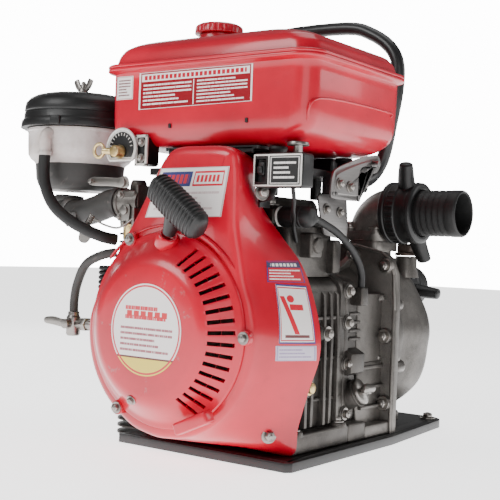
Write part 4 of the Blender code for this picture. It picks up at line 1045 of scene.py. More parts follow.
def recoil_case():
    y = STARTER_FRONT_Y
    profile = [(y, 0.0), (y, 61), (y + 0.6, 64.5), (y + 2.6, 69), (y + 5.5, 73.0), (y + 8.5, 76.2),
               (y + 12, 79.5), (y + 16, 83.2), (-271.5, 87.4), (-269.6, 89.4), (-268, 91.6),
               (-267, 94), (-266, 96.2), (-264.4, STARTER_R), (DOME_BACK_Y, STARTER_R),
               (DOME_BACK_Y, 90), (-264.6, 88.5), (-268, 86), (y + 16, 80.5), (y + 9, 73.5),
               (y + 5, 69.5), (y + 2.4, 64), (y + 2.2, 0.0)]
    cover = Shape()
    axis = (0, 1, 0)
    shell = [(a, max(r, 0.05)) for a, r in profile]
    cover.turned(shell, (CRANK_X, 0, CRANK_Z), axis, 160)
    case = link("recoil_cover", to_mesh(cover, "recoil_cover"))
    rows = (("inner", 77.4, -283.5, 11.6, 17), ("outer", 86.2, -273.8, 9.6, 17))
    for label, radius, level, length, count in rows:
        first = math.radians(63)
        slots = grow("slots_" + label, RADIAL_BARS, [(CRANK_X, level, CRANK_Z)],
                     {"Count": count, "First Angle": first, "Step Angle": math.radians(-7.55),
                      "Size": (length * MM, 13 * MM, 4.0 * MM), "Lean": math.radians(-44),
                      "Radius": radius * MM})
        carve(case, slots, self_crossing=False)
    finish(case, RED_PAINT, ["recoil_case"], bevel=0.5, segments=2, angle=32)

    exit_point = Vector((-3, -275, 217))
    boss = Shape().turned([(-5, 11.2), (3, 11.2), (7, 10.4), (8.6, 9), (8.6, 7.2), (4, 6.6),
                           (-5, 6.6)], exit_point, PULL, 48)
    # pressed facet at the foot of the cover and the lugs that carry its screws
    boss.box((22, -286, 41), (64, -272, 53), 2.5, Matrix.Rotation(math.radians(-24), 4, 'Y'))
    for turn in (0, 118, 236):
        x, z = polar(99.5, turn)
        boss.rod((x, -268.5, z), (x, DOME_BACK_Y, z), 7.2, 32)
    piece("recoil_lugs", boss, RED_PAINT, bevel=0.8)
    places = [polar(99.5, turn) for turn in (0, 118, 236)]
    bolts("recoil_bolts", [((x, -268.4, z), (0, -1, 0)) for x, z in places], across=7, height=3.6)
    x, z = polar(70.8, -104.5)
    bolts("recoil_foot_screw", [((x, y + 3.6, z), (0, -0.86, -0.5))], across=6, height=3)

    mesh = bmesh.new()
    layer = mesh.loops.layers.uv.new("face")
    radius = 44.5
    middle = mesh.verts.new((CRANK_X * MM, (y - 0.5) * MM, (CRANK_Z + 1) * MM))
    rim = []
    for k in range(96):
        px, pz = polar(radius, 360 * k / 96, (CRANK_X, CRANK_Z + 1))
        rim.append(mesh.verts.new((px * MM, (y - 0.5) * MM, pz * MM)))
    for k in range(96):
        face = mesh.faces.new((middle, rim[k], rim[(k + 1) % 96]))
        for loop in face.loops:
            co = loop.vert.co / MM
            loop[layer].uv = (0.5 + (co.x - CRANK_X) / radius / 2,
                              0.5 + (co.z - CRANK_Z - 1) / radius / 2)
    thicken("starter_print", mesh, 0.4, DISC_PANEL)


def starter_grip():
    along = Vector((0.81, 0.0, -0.587)).normalized()
    deep = along.cross(PULL).normalized()
    centre = Vector((24, -292, 250))
    half = 37.0
    rings = []
    sides = 32
    levels = [(-1.0, 0.30), (-0.985, 0.52), (-0.95, 0.68), (-0.9, 0.76)]
    for k in range(15):
        s = -0.86 + 1.72 * k / 14
        swell = 1.0 - 0.16 * abs(s) ** 2.2
        levels += [(s - 0.022, swell), (s + 0.022, swell), (s + 0.034, swell - 0.075),
                   (s + 0.078, swell - 0.075)]
    levels = [row for row in levels if row[0] < 0.87]
    levels += [(0.9, 0.76), (0.95, 0.68), (0.985, 0.52), (1.0, 0.30)]
    for s, share in levels:
        ring = []
        for k in range(sides):
            t = 2 * math.pi * (k + 0.5) / sides
            square = 1.0 / max(abs(math.cos(t)), abs(math.sin(t))) ** 0.35
            ring.append(centre + along * half * s + PULL * (17.0 * share * square * math.cos(t))
                        + deep * (12.4 * share * square * math.sin(t)))
        rings.append(ring)
    shape = Shape().skin(rings)
    stem = [centre - PULL * d for d in (6, 12, 18, 24, 29, 34)]
    shape.tube(stem, [10.5, 9.6, 8.6, 7.8, 7.0, 6.4], 32)
    piece("starter_grip_body", shape, BLACK_PLASTIC, ["starter_grip"], body="starter_grip",
          bevel=0.3, segments=1, angle=30)


# ---------------------------------------------------------------- fuel tank

def tank_section(z, left, right, front, rear, radius):
    return [(x, y, z) for x, y in round_rect(TANK_LEFT_X + left, TANK_RIGHT_X - right,
                                             TANK_FRONT_Y + front, TANK_REAR_Y - rear, radius, 12)]


def tank_rings(rows, between=3):
    """Sections down the tank with smooth ones put between them."""
    flat = curve_through([row[:3] for row in rows], between)
    rest = curve_through([row[3:] for row in rows], between)
    return [tank_section(a[0], a[1], a[2], b[0], b[1], b[2]) for a, b in zip(flat, rest)]


def fuel_tank():
    seam, bottom = TANK_SEAM_Z, TANK_BOTTOM_Z
    under = [(bottom, 34, 46, 26, 26, 14), (bottom + 1, 26, 38, 19, 19, 16),
             (bottom + 3.5, 17, 29, 11, 11, 18), (bottom + 11, 7, 14, 4, 4, 20),
             (bottom + 22, 2, 4, 1, 1, 21), (bottom + 45, 0.5, 0.8, 0.2, 0.2, 22),
             (seam - 6.5, 0, 0, 0, 0, 22)]
    rings = tank_rings(under)
    rings += [tank_section(*row) for row in (
        (seam - 5.6, -0.6, -0.6, -0.6, -0.6, 22.5), (seam - 4.6, -3, -3, -3, -3, 24),
        (seam - 3.8, -6, -6, -6, -6, 26.5), (seam - 2.8, -7, -7, -7, -7, 27),
        (seam - 0.5, -7, -7, -7, -7, 27), (seam, -6.5, -6.5, -6.5, -6.5, 26.7))]
    lower = piece("fuel_tank_pan", Shape().skin(rings), RED_PAINT,
                  ["fuel_tank_lower"], bevel=0, angle=60)
    low = seam + 0.3
    lip = [(low, -6.5, -6.5, -6.5, -6.5, 26.7), (low + 0.6, -7, -7, -7, -7, 27),
           (low + 2.6, -7, -7, -7, -7, 27), (low + 3.6, -5.8, -5.8, -5.8, -5.8, 26),
           (low + 4.2, -3, -3, -3, -3, 24)]
    over = [(low + 5, 1, 1, 1, 1, 22), (low + 9, 2.4, 2.4, 1.4, 1.8, 22),
            (low + 14, 4, 4, 2.5, 3, 22), (low + 18, 6.6, 7.4, 4.2, 5, 22),
            (low + 22, 10, 12, 7, 8, 22), (low + 28, 22, 30, 16, 20, 24),
            (low + 34, 46, 60, 38, 42, 26), (low + 37, 70, 84, 56, 60, 26)]
    rings = [tank_section(*row) for row in lip] + tank_rings(over)
    piece("fuel_tank_top", Shape().skin(rings), RED_PAINT, ["fuel_tank_upper"], bevel=0, angle=60)

    pressing = Shape()
    line = [(111.4, -209, 338), (117.8, -199, 360), (118.4, -67, 364), (118.3, -58, 359)]
    pressing.tube(curve_through(line, 6), 1.2, 12, flat=(0.9, 1.0))
    pressing.turned([(437, 24), (439.6, 23), (441, 22), (446.5, 22), (447.2, 21), (447.2, 17),
                     (437, 17)],
                    (*CAP_AXIS, 0), (0, 0, 1), 64)
    piece("tank_pressings", pressing, RED_PAINT, bevel=0)

    rubber = Shape()
    for x, z in ((-53, 340), (46, 342)):
        rubber.box((x - 1.6, TANK_FRONT_Y - 0.8, z - 5), (x + 1.6, TANK_FRONT_Y + 3, z), 0.8)
    piece("tank_clips", rubber, BLACK_PLASTIC, bevel=0)
    panel("tank_print", [(-97, -219, 395), (52, -219, 395), (52, -219, 358), (-97, -219, 356)],
          TANK_PANEL, (0, -1, 0), lower)
    panel("tank_note", [(-131, -219, 393), (-106, -219, 393), (-106, -219, 368),
                        (-131, -219, 368)], SMALL_PANEL, (0, -1, 0), lower)

    base = NECK_TOP_Z + 0.3
    rings = []
    teeth = 24
    for level, radius, depth in ((0, 26.2, 0), (0.8, 26.9, 0.0), (1.6, 26.9, 1.0), (7.5, 26.3, 1.0),
                                 (8.6, 25.8, 0.0), (9.6, 24.8, 0), (10.8, 22.6, 0), (11.4, 20, 0),
                                 (11.6, 17, 0), (10.9, 15.4, 0), (10.9, 9, 0), (12, 7, 0),
                                 (12, 3, 0)):
        ring = []
        for k in range(teeth * 8):
            notch = depth if (k % 8) < 3 else 0.0
            x, y = polar(radius - notch, 360 * k / (teeth * 8), CAP_AXIS)
            ring.append((x, y, base + level))
        rings.append(ring)
    cap = Shape().skin(rings)
    cap.rod((*CAP_AXIS, 439.8), (*CAP_AXIS, base), 16, 48)
    piece("fuel_cap_body", cap, RED_PAINT, ["fuel_cap"], body="fuel_cap", bevel=0.25,
          segments=1, angle=40)


# ---------------------------------------------------------------- tank support, handle, bracket

def tank_support():
    shape = Shape()
    shape.prism(round_rect(-112, 84, -186, -58, 10), 'z', DECK_Z, DECK_Z + 7)
    shape.prism(round_rect(-66, 56, -211, -181, 5), 'z', 312.4, 315.6)
    shape.box((-66, -185.5, DECK_Z + 2), (56, -182.5, 314), 1.0)
    shape.box((-66, -72, DECK_Z + 2), (56, -60, 315.6), 2.0)
    for x in (-92, 44):
        for y0, y1 in ((-180, -166.5), (-96, -84)):
            shape.box((x, y0, 268.4), (x + 8, y1, DECK_Z + 4), 1.2)
    shape.box((79, -128, 272), (93.4, -84, DECK_Z + 6), 1.5)
    shape.box((-60, -211, 308), (50, -208, 315), 1.2)
    piece("tank_support_frame", shape, BLACK_PAINT, ["tank_support"], bevel=0)

    posts = Shape()
    for x in (70, -100):
        for y in (-196, -70):
            posts.turned([(298, 0), (298, 9), (300, 9.6), (303, 7.5), (309, 7.5), (312, 9.6),
                          (315, 9), (315, 0)], (x, y, 0), (0, 0, 1), 40)
    posts.box((60, -200, 291), (80, -60, 298), 1.5)
    piece("tank_buffers", posts, BLACK_RUBBER, bevel=0.4)
    stud = Shape()
    stud.turned([(290, 0), (290, 4.5), (315, 4.5), (315, 11), (318.4, 10.4), (318.4, 0)],
                (96, -200, 0), (0, 0, 1), 40)
    stud.box((78, -208, 288), (104, -192, 292), 1.0)
    piece("tank_stud", stud, PLATED, bevel=0.5)


def carry_handle():
    middle = (TANK_LEFT_X + TANK_RIGHT_X) / 2
    right = [(78, -50, 290), (78, -30, 295), (80, -15, 306), (85, -8, 325), (92, -8, 360),
             (98, -8, 395), (98, -8, 425), (87, -8, 446), (62, -8, 463), (30, -8, 472)]
    left = [(2 * middle - x, y, z) for x, y, z in right[::-1]]
    path = curve_through(right + left, 4)
    hose("carry_handle_tube", path, 7.4, BLACK_TUBES, BLACK_PAINT,
         ["carry_handle"], step=3.0, sides=32)
    ends = Shape()
    for x in (78, 2 * middle - 78):
        ends.prism(round_rect(-64, -34, 280, 298, 6), 'x', x - 3, x + 3)
    piece("handle_feet", ends, BLACK_PAINT, bevel=0.8)
    bolts("handle_bolts", [((81.4, -48, 289), (1, 0, 0))], across=9, height=5)


def handle_bracket():
    outline = [(-136, 272), (-128, 268), (-82, 268), (-77, 272), (-76, 297), (-62, 299),
               (-45, 301), (-37, 308), (-36, 315), (-42, 320), (-52, 319.5), (-76, 315),
               (-100, 308), (-124, 300), (-134, 292)]
    smooth = flat_curve(outline, 5)
    shape = Shape().prism(smooth, 'x', 94, 96.2)
    shape.prism(inset(smooth, 5), 'x', 96, 97, 1.2)
    hole = Shape().rod((86, -54, 310), (105, -54, 310), 3.2, 32)
    piece("handle_bracket_plate", shape, BRACKET_STEEL, ["handle_bracket"], cuts=[hole], bevel=0.4)
    bolts("bracket_bolts", [((97, -122, 284), (1, 0, 0)), ((97, -101, 282), (1, 0, 0))],
          across=7, height=4)
    spacer = Shape()
    for y, z in ((-122, 284), (-101, 282)):
        spacer.rod((90, y, z), (94.2, y, z), 7, 32)
    piece("bracket_spacers", spacer, PLATED, bevel=0.4)
    shield = Shape()
    points = [(-123, 268), (-118, 270), (-80, 271), (-74, 268), (-70, 238), (-76, 232), (-104, 234),
              (-112, 238)]
    rim = flat_curve(points, 6)
    shield.prism(rim[::-1], 'x', 72.5, 74.0)
    shield.prism(inset(rim, 4)[::-1], 'x', 73.8, 75.6)
    piece("cylinder_shield", shield, BRACKET_STEEL, bevel=0.6)
    bolts("shield_bolts", [((75.6, -112, 258), (1, 0, 0)), ((75.6, -84, 256), (1, 0, 0))],
          across=6.5, height=3.5)


# ---------------------------------------------------------------- engine block

CASE_OUTLINE = round_rect(-92, 82, 20, 186, 18, 10)


def crankcase():
    shape = Shape().prism(CASE_OUTLINE, 'y', -187, -80)
    shape.prism(inset(CASE_OUTLINE, -3.2), 'y', -90, -80.2)
    shape.box((-97, -187, 10.3), (95, -80, 30), 2.5)
    for k, y in enumerate((-172, -159, -146, -124, -111, -98)):
        shape.prism([(78, 30), (88 + (k % 2) * 1.5, 34), (88, 120), (85, 168), (78, 176)], 'y',
                    y, y + 4.5)
    for z in (58, 100, 142):
        shape.box((80, -186, z), (85.5, -82, z + 4), 1.4)
    for y, z, radius in ((-150, 74, 11), (-118, 128, 9), (-165, 150, 8)):
        shape.turned([(78, 0), (78, radius + 2), (86, radius), (87.4, radius - 1.4), (87.4, 0)],
                     (0, y, z), (1, 0, 0), 40)
    shape.turned([(184, 0), (184, 62), (186.2, 60), (186.2, 0)], (CRANK_X, -125, 0), (0, 0, 1), 64)
    for x in (-97, 78):
        for y in (-176, -92):
            shape.turned([(28, 0), (28, 11), (33, 10), (33.6, 9), (33.6, 0)],
                         (x + 9, y, 0), (0, 0, 1), 36)
    room = Shape().box((-84, -180, 28), (74, -70, 178), 4.0)
    room.box((-84, -160, 170), (64, -88, 190), 2.0)
    piece("crankcase_casting", shape, CAST, ["crankcase"], cuts=[room], bevel=0.7)
    bolts("crankcase_bolts", [((87.4, -118, 128), (1, 0, 0)), ((87.4, -165, 150), (1, 0, 0))]
          + [((x + 9, y, 33.6), (0, 0, 1)) for x in (-97, 78) for y in (-176, -92)], across=9)
    plug = Shape().turned([(87, 0), (87, 7.5), (89, 7.5), (89, 5.6), (92.5, 5.4), (93, 4.6),
                           (93, 0)],
                          (0, -150, 74), (1, 0, 0), 40)
    piece("oil_drain_plug", plug, BRASS, bevel=0.3)


def crankcase_cover():
    shape = Shape().prism(CASE_OUTLINE, 'y', -79.7, -50)
    shape.prism(inset(CASE_OUTLINE, -3.2), 'y', -79.6, -71)
    shape.prism(inset(CASE_OUTLINE, 5), 'y', -51, -44)
    shape.box((-97, -79.7, 10.3), (95, -44, 30), 2.5)
    shape.tube([(66, -62, 50), (74, -61, 54), (86, -59.5, 59.4), (92, -58, 62)],
               [17, 15, 14, 14.4], 40)
    shape.turned([(-2.5, 0), (-2.5, 15.6), (0, 15.6), (0, 0)], (92, -58, 62), (22, 4, 10), 40)
    shape.box((78, -62, 156), (95, -48, 176), 2.0)
    shape.prism([(78, 78), (93, 84), (93, 104), (78, 112)], 'y', -76, -48)
    places = []
    for y, z in ((-75.5, 40), (-75.5, 94), (-75.5, 138), (-75.5, 172)):
        shape.turned([(78, 0), (78, 10.5), (84, 9.4), (86.5, 8.4), (86.5, 0)], (0, y, z),
                     (1, 0, 0), 36)
        places.append(((86.5, y, z), (1, 0, 0)))
    for k in range(4):
        shape.box((80, -70 + 0.5 * k, 118 + 9 * k), (86 - 0.4 * k, -46, 121.4 + 9 * k), 1.0)
    piece("crankcase_cover_casting", shape, CAST, ["crankcase_cover"], bevel=0.7)
    bolts("cover_bolts", places, across=8)


def cylinder():
    block = Shape().prism(round_rect(-118, 70, -166, -82, 12), 'z', 186.3, 238)
    block.box((66, -150, 206), (84, -128, 232), 3.0)
    block.box((60, -98, 190), (80, -84, 226), 3.0)
    block.turned([(80, 0), (80, 9), (86, 8), (87, 7), (87, 0)], (0, -139, 219), (1, 0, 0), 36)
    room = Shape().box((-106, -158, 180), (58, -90, 245), 4.0)
    piece("cylinder_block", block, CAST, ["cylinder"], cuts=[room], bevel=0.8)
    seeds = [(x, y, 192) for x, y in round_rect(-160, 62, -178, -72, 22, 10)]
    fins = grow("cylinder_fins", FINS, seeds, {"Count": 6, "Pitch": 7.6 * MM,
                                               "Thickness": 2.6 * MM})
    finish(fins, FIN_CAST, bevel=0.5)
    # black air guide with sloping ribs beside the fins
    guide = Shape()
    guide.prism([(-146, 212), (-96, 196), (-86, 262), (-120, 268), (-148, 264)], 'y', -176, -120)
    for k in range(6):
        z = 214 + 9.0 * k
        guide.prism([(-150, z), (-150, z + 2.4), (-92, z + 8.4), (-92, z + 6)], 'y', -184, -174)
    piece("air_guide", guide, BLACK_PLASTIC, bevel=0.4)


def cylinder_head():
    low = 238.3
    shape = Shape().prism(round_rect(-100, 56, -180, -78, 14), 'z', low, low + 11)
    for k in range(12):
        x = -94 + 12.4 * k
        outline = [(-176, low + 9), (-82, low + 9), (-82, 262), (-90, 268), (-168, 268),
                   (-176, 262)]
        shape.prism(outline, 'x', x, x + 3)
    shape.box((30, -180, low + 1), (56, -154, low + 17), 2.0)
    for x in (-90, 44):
        for y in (-168, -92):
            shape.rod((x, y, low + 8), (x, y, low + 20), 7.5, 32)
    shape.turned([(50, 0), (50, 12), (56, 10.5), (56.2, 0)], (0, -168, 247), (1, 0, 0), 40)
    room = Shape().box((-86, -164, 230), (34, -88, 264), 3.0)
    piece("cylinder_head_casting", shape, FIN_CAST, ["cylinder_head"], cuts=[room], bevel=0.5)
    bolts("head_bolts", [((x, y, low + 20), (0, 0, 1)) for x in (-90, 44) for y in (-168, -92)],
          across=10, height=6)


def ignition():
    plug = Shape().turned([(56.3, 0), (56.3, 10.5), (58, 10.5), (58, 6.2), (64, 6.0), (66, 5.2),
                           (80, 4.5), (80, 0)], (0, *PLUG), (1, 0, 0), 40)
    piece("spark_plug_body", plug, CERAMIC, ["spark_plug"], bevel=0.3)
    profile = [(59, 9.6), (61, 10.6), (88, 11), (92.5, 10.4), (95.5, 8.6), (96.6, 5.5), (96.8, 0.3),
               (84, 0.3), (84, 5.6), (66, 5.6), (64, 6.5), (59, 6.5)]
    cap = Shape().turned(profile, (0, *PLUG), (1, 0, 0), 64)
    for k in range(3):
        cap.turned([(75 + 4 * k, 10.4), (75.6 + 4 * k, 11.5), (77 + 4 * k, 11.5),
                    (77.6 + 4 * k, 10.4)], (0, *PLUG), (1, 0, 0), 64)
    cap.tube([(88, -166, 247), (88, -160, 246.7), (88, -154, 246.3), (88, -152, 246)],
             [7.5, 6.6, 5.8, 5.4], 32)
    piece("spark_plug_boot", cap, BLACK_RUBBER, ["spark_plug_cap"], bevel=0.3)
    lead = curve_through([(88, -151.5, 246), (89, -138, 242), (91, -115, 234), (92, -90, 221),
                          (91, -68, 205), (90, -57, 190), (89, -55, 174)], 8)
    hose("ignition_lead_cable", lead, 3.9, BLACK_HOSES, BLACK_RUBBER,
         ["ignition_lead"], step=2.0, sides=24)


def switch_box():
    lo, hi = SWITCH_LOW, SWITCH_HIGH
    shape = Shape().box(lo, hi, 2.2)
    shape.box((lo[0] + 1.5, lo[1], hi[2] - 2), (hi[0] - 2, hi[1], hi[2] + 0.6), 1.0)
    recess = Shape().box((72, -241, 277), (84, -230, 299), 1.0)
    piece("switch_housing", shape, BLACK_PLASTIC, ["switch_box"], cuts=[recess], bevel=0)
    face = lo[1] - 0.15
    trim = Shape()
    corners = [(70.6, face, 302.6), (124.4, face, 302.6), (124.4, face, 273.6), (70.6, face, 273.6)]
    for a, b in zip(corners, corners[1:] + corners[:1]):
        trim.tube([a, Vector(a).lerp(Vector(b), 0.5), b], 0.85, 12)
    trim.tube([(87.5, face, 302), (87.5, face, 288), (87.5, face, 274)], 0.7, 12)
    piece("switch_trim", trim, CERAMIC, bevel=0)
    panel("switch_print", [(88.5, lo[1] - 0.1, 301.5), (123.5, lo[1] - 0.1, 301.5),
                           (123.5, lo[1] - 0.1, 274.5), (88.5, lo[1] - 0.1, 274.5)],
          SWITCH_FACE, (0, -1, 0))
    lever = Shape().box((74.2, -235.5, 283.5), (81.8, -229, 296.4), 1.4)
    lever.box((75, -238.6, 285), (81, -234, 292), 1.4)
    piece("switch_rocker", lever, BLACK_PLASTIC, ["switch_lever"], body="switch_lever", bevel=0)
    stay = Shape()
    stay.prism([(60, 258), (78, 262), (82, 274), (70, 276), (60, 276)], 'y', -213, -210.6)
    stay.box((60, -213, 254), (63, -196, 276), 0.8)
    piece("switch_stay", stay, BLACK_PAINT, bevel=0.4)
    wire = curve_through([(100, -212, 272.4), (99, -208, 262), (92, -198, 252), (84, -184, 246),
                          (76, -172, 236), (72, -160, 222)], 8)
    hose("stop_wire", wire, 2.1, BLACK_HOSES, BLACK_RUBBER, step=2.0,
         sides=16)


SWITCH_FACE = decal("switch_face", (
    (lambda u, v: border(u, v, 0.03, 0.06), (0.7, 0.68, 0.66)),
    (lambda u, v: bars(u, v, 4, 0.16, 0.84, 0.14, 0.86), (0.8, 0.78, 0.76)),
), (0.02, 0.02, 0.02), gloss=0.3)


def muffler():
    outline = round_rect(-186, -104, -68, 8, 18, 8)
    shape = Shape()
    shape.skin([[(x, y, z) for x, y in inset(outline, d)] for z, d in
                ((196, 8), (197, 4), (200, 1), (204, 0), (237, 0), (238, -1.6), (240.4, -1.6),
                 (241.4, 0), (274, 0), (278, 1), (281, 4), (282, 8))])
    pipe = curve_through([(-145, -30, 200), (-145, -32, 182), (-138, -50, 168), (-125, -60, 158),
                          (-110, -60, 148), (-102, -60, 148), (-93.2, -60, 148)], 6)
    shape.tube(pipe, 11.5, 32)
    shape.tube([(-150, 6, 262), (-150, 12, 262), (-150, 15, 258)], 8, 28, bore=6.4)
    piece("muffler_can", shape, DARK_IRON, ["muffler"], bevel=0)
    guard = Shape()
    for k in range(9):
        z = 204 + 8.4 * k
        guard.box((-187.6, -60, z), (-185, 0, z + 4.6), 1.0)
    for y in (-62, -2):
        guard.box((-187.4, y, 200), (-184.6, y + 4, 280), 1.0)
    piece("muffler_guard", guard, PLATED, bevel=0)


# ---------------------------------------------------------------- air cleaner and fuel system

def air_cleaner():
    x, y = CLEANER
    centre = (x, y, 0)
    up = (0, 0, 1)
    upper = [(341, 62), (338, 62), (337.4, 61), (322, 60.6), (312, 60), (307, 57), (303.5, 52.5),
             (300, 50.6), (285, 48.6), (278, 46), (274, 42.5), (272.3, 38), (272, 12), (275, 12),
             (276, 38), (281, 45), (307, 49), (314, 58), (341, 59)]
    bowl = Shape().turned(upper, centre, up, 96)
    spout = [(x + 9, y + dy, level) for dy, level in ((-55, 334), (-60, 333), (-64, 329),
                                                      (-64.5, 320), (-64.5, 308))]
    bowl.tube(curve_through(spout, 5), 6.8, 32)
    bowl.turned([(308, 5), (308, 8.2), (312, 8.2), (312, 5)], (x + 9, y - 64.5, 0), up, 32)
    piece("air_cleaner_case", bowl, MILKY, ["air_cleaner_bowl"], bevel=0.4)
    lower = Shape().turned([(305, 49.9), (303, 51.5), (285, 50), (277, 47.2), (272.6, 42),
                            (271.6, 34), (272.6, 34), (275, 40), (281, 46), (302, 48.9)],
                           centre, up, 96)
    piece("air_cleaner_foot", lower, GREY_RUBBER, bevel=0.5)

    lid_profile = [(342, 69.6), (342, 60), (344, 60), (366, 61), (373, 52), (380, 4), (384, 4),
                   (383.6, 12), (383, 30), (381.6, 46), (379.4, 54), (376, 60), (371, 64.6),
                   (365, 65.8), (361.6, 66), (360.8, 65.2), (359.8, 65.2), (359, 66.1),
                   (353, 66.4), (351, 67.6), (350, 68.6), (346.6, 69.2)]
    lid = Shape().turned(lid_profile, centre, up, 128)
    lid.turned([(381.6, 12), (383.9, 11.4), (384.3, 10), (384.3, 4), (381.6, 4)], centre, up, 48)
    for turn in (20, 110, 200, 290):
        px, py = polar(68.2, turn, CLEANER)
        lid.box((px - 3, py - 6, 341.6), (px + 3, py + 6, 352), 1.4,
                Matrix.Rotation(math.radians(turn), 4, 'Z'))
    piece("air_cleaner_cover", lid, BLACK_PLASTIC, ["air_cleaner_lid"], bevel=0.4)
    nut = Shape().turned([(384.6, 0), (384.6, 7.6), (386.4, 7.6), (386.4, 6), (389.5, 5.4),
                          (392, 4.6), (392.4, 3), (399.4, 2.6), (400, 1.6), (400, 0)], centre,
                         up, 40)
    for side in (-1, 1):
        wing = curve_through([(x + side * 3, y, 389), (x + side * 8, y, 394.5),
                              (x + side * 12, y, 402)], 6)
        count = len(wing)
        nut.tube(wing, [2.6 + 1.7 * math.sin(math.pi * 0.75 * k / (count - 1))
                        for k in range(count)], 20, flat=(0.5, 1.0))
    piece("wing_nut", nut, PLATED, ["air_cleaner_wing_nut"], body="air_cleaner_wing_nut", bevel=0.3)

    path = curve_through([(-237, -180, 267), (-237, -180, 259), (-228, -184, 250),
                          (-206, -190, 246), (-178, -196, 250), (-152, -199, 257),
                          (-140, -200, 258), (-132, -200, 258)], 7)
    elbow = Shape().tube(path, 15.2, 48, bore=12.5)
    elbow.tube([path[0] + Vector((0, 0, -1)), path[0] + Vector((0, 0, -6)),
                path[0] + Vector((0, 0, -7))], [17.4, 17.4, 16], 48, bore=13)
    elbow.tube([path[-1] - Vector((1, 0, 0)), path[-1] - Vector((7, 0, 0)),
                path[-1] - Vector((8, 0, 0))], [17.6, 17.6, 15.6], 48, bore=13)
    piece("intake_elbow_hose", elbow, GREY_RUBBER, ["intake_elbow"], bevel=0.4)
    strap = Shape()
    strap.tube([path[14], path[17]], 16.4, 48, bore=15.0)
    strap.box((-211, -210, 230), (-195, -201, 247), 2.4)
    strap.rod((-203, -213, 238), (-203, -204, 238), 4.5, 36)
    piece("intake_clip", strap, BRACKET_STEEL, bevel=0.4)
    tube_path = curve_through([(-213, -242.5, 312), (-213, -243, 290), (-209, -243, 272),
                               (-198, -240, 252), (-180, -234, 237), (-162, -226, 227),
                               (-148, -214, 220), (-140, -200, 217)], 8)
    hose("breather_tube", tube_path, 6.4, BLACK_HOSES, BLACK_RUBBER,
         ["breather_hose"], step=2.0, sides=32)


def carburettor():
    x, y, z = CARBURETTOR
    shape = Shape()
    shape.turned([(x - 17.6, 12), (x - 17.6, 16.8), (x - 14, 16.8), (x - 13, 15), (x + 13.4, 15),
                  (x + 13.4, 12)], (0, y - 5, z + 1), (1, 0, 0), 48)
    shape.box((x - 12, y - 19, z - 19), (x + 12, y + 17, z + 14), 3.0)
    shape.turned([(z - 21, 0), (z - 21, 16), (z - 17, 16), (z - 14, 12), (z + 12, 10),
                  (z + 22, 9), (z + 26, 7), (z + 26, 0)], (x, y, 0), (0, 0, 1), 48)
    shape.box((x + 9, y - 16, z - 20), (x + 13.6, y + 20, z + 20), 1.6)
    shape.box((x - 2, y + 6, z - 12), (-100.3, y + 34, z + 12), 2.0)
    piece("carburettor_body", shape, CAST_PALE, ["carburettor"], bevel=0.5)
    low = z - 21.3
    bowl = Shape().turned([(low, 0), (low, 17), (low - 2, 17), (low - 2.6, 15.4), (low - 17, 15),
                           (low - 21, 13), (low - 23, 9), (low - 23, 5.6), (low - 27, 5.4),
                           (low - 27, 0)], (x, y, 0), (0, 0, 1), 56)
    piece("float_chamber", bowl, BRASS, ["float_bowl"], bevel=0.4)

    lever_y = y - 20.3
    choke = Shape().prism(flat_curve([(x - 54, z + 24), (x - 50, z + 19), (x - 20, z + 18),
                                      (x + 2, z + 16), (x + 5, z + 22), (x, z + 29),
                                      (x - 12, z + 27), (x - 30, z + 28), (x - 50, z + 28)], 4),
                          'y', lever_y - 1.6, lever_y - 0.2)
    choke.rod((x - 4, lever_y - 4.4, z + 22), (x - 4, lever_y, z + 22), 5.4, 32)
    choke.rod((x - 49, lever_y - 6.5, z + 23.5), (x - 49, lever_y - 0.8, z + 23.5), 2.6, 24)
    piece("choke_plate", choke, PLATED, ["choke_lever"], body="choke_lever", bevel=0.3)
    throttle = Shape().prism(flat_curve([(x - 5, z - 24), (x + 1, z - 26), (x + 6, z - 22),
                                         (x + 8, z - 9), (x + 6, z - 2), (x - 3, z - 2),
                                         (x - 6, z - 9)], 4), 'y', lever_y - 1.6, lever_y - 0.2)
    throttle.rod((x + 1, lever_y - 4, z - 8), (x + 1, lever_y, z - 8), 4.6, 32)
    throttle.rod((x + 1, lever_y - 5, z - 21), (x + 1, lever_y - 0.8, z - 21), 1.8, 20)
    piece("throttle_plate", throttle, PLATED, ["throttle_lever"], body="throttle_lever", bevel=0.3)
    bolts("carburettor_screws", [((x - 8, y - 19, z + 9), (0, -1, 0)),
                                 ((x - 8, y - 19, z - 15), (0, -1, 0))], across=5, height=3)
    spring = grow("governor_spring", SPRINGS, [(-158, -219, 243)],
                  {"Turns": 11.0, "Radius": 3.3 * MM, "Length": 24 * MM, "Wire": 0.6 * MM},
                  [(-0.55, -0.1, -0.8)])
    finish(spring, PLATED, bevel=0)
    links = Shape()
    links.tube(curve_through([(-150, -224, 238), (-132, -225, 232), (-112, -226, 230),
                              (-97, -221, 240)], 6), 1.2, 12)
    links.tube(curve_through([(-172, -221, 224), (-166, -223, 232), (-158, -219.4, 243)], 6), 1.1,
               12)
    links.prism(flat_curve([(-176, 216), (-166, 212), (-158, 220), (-162, 232), (-172, 230)], 4),
                'y', -222, -220.4)
    links.box((-99, -222, 224), (-95, -188, 252), 1.2)
    piece("governor_links", links, PLATED, bevel=0)


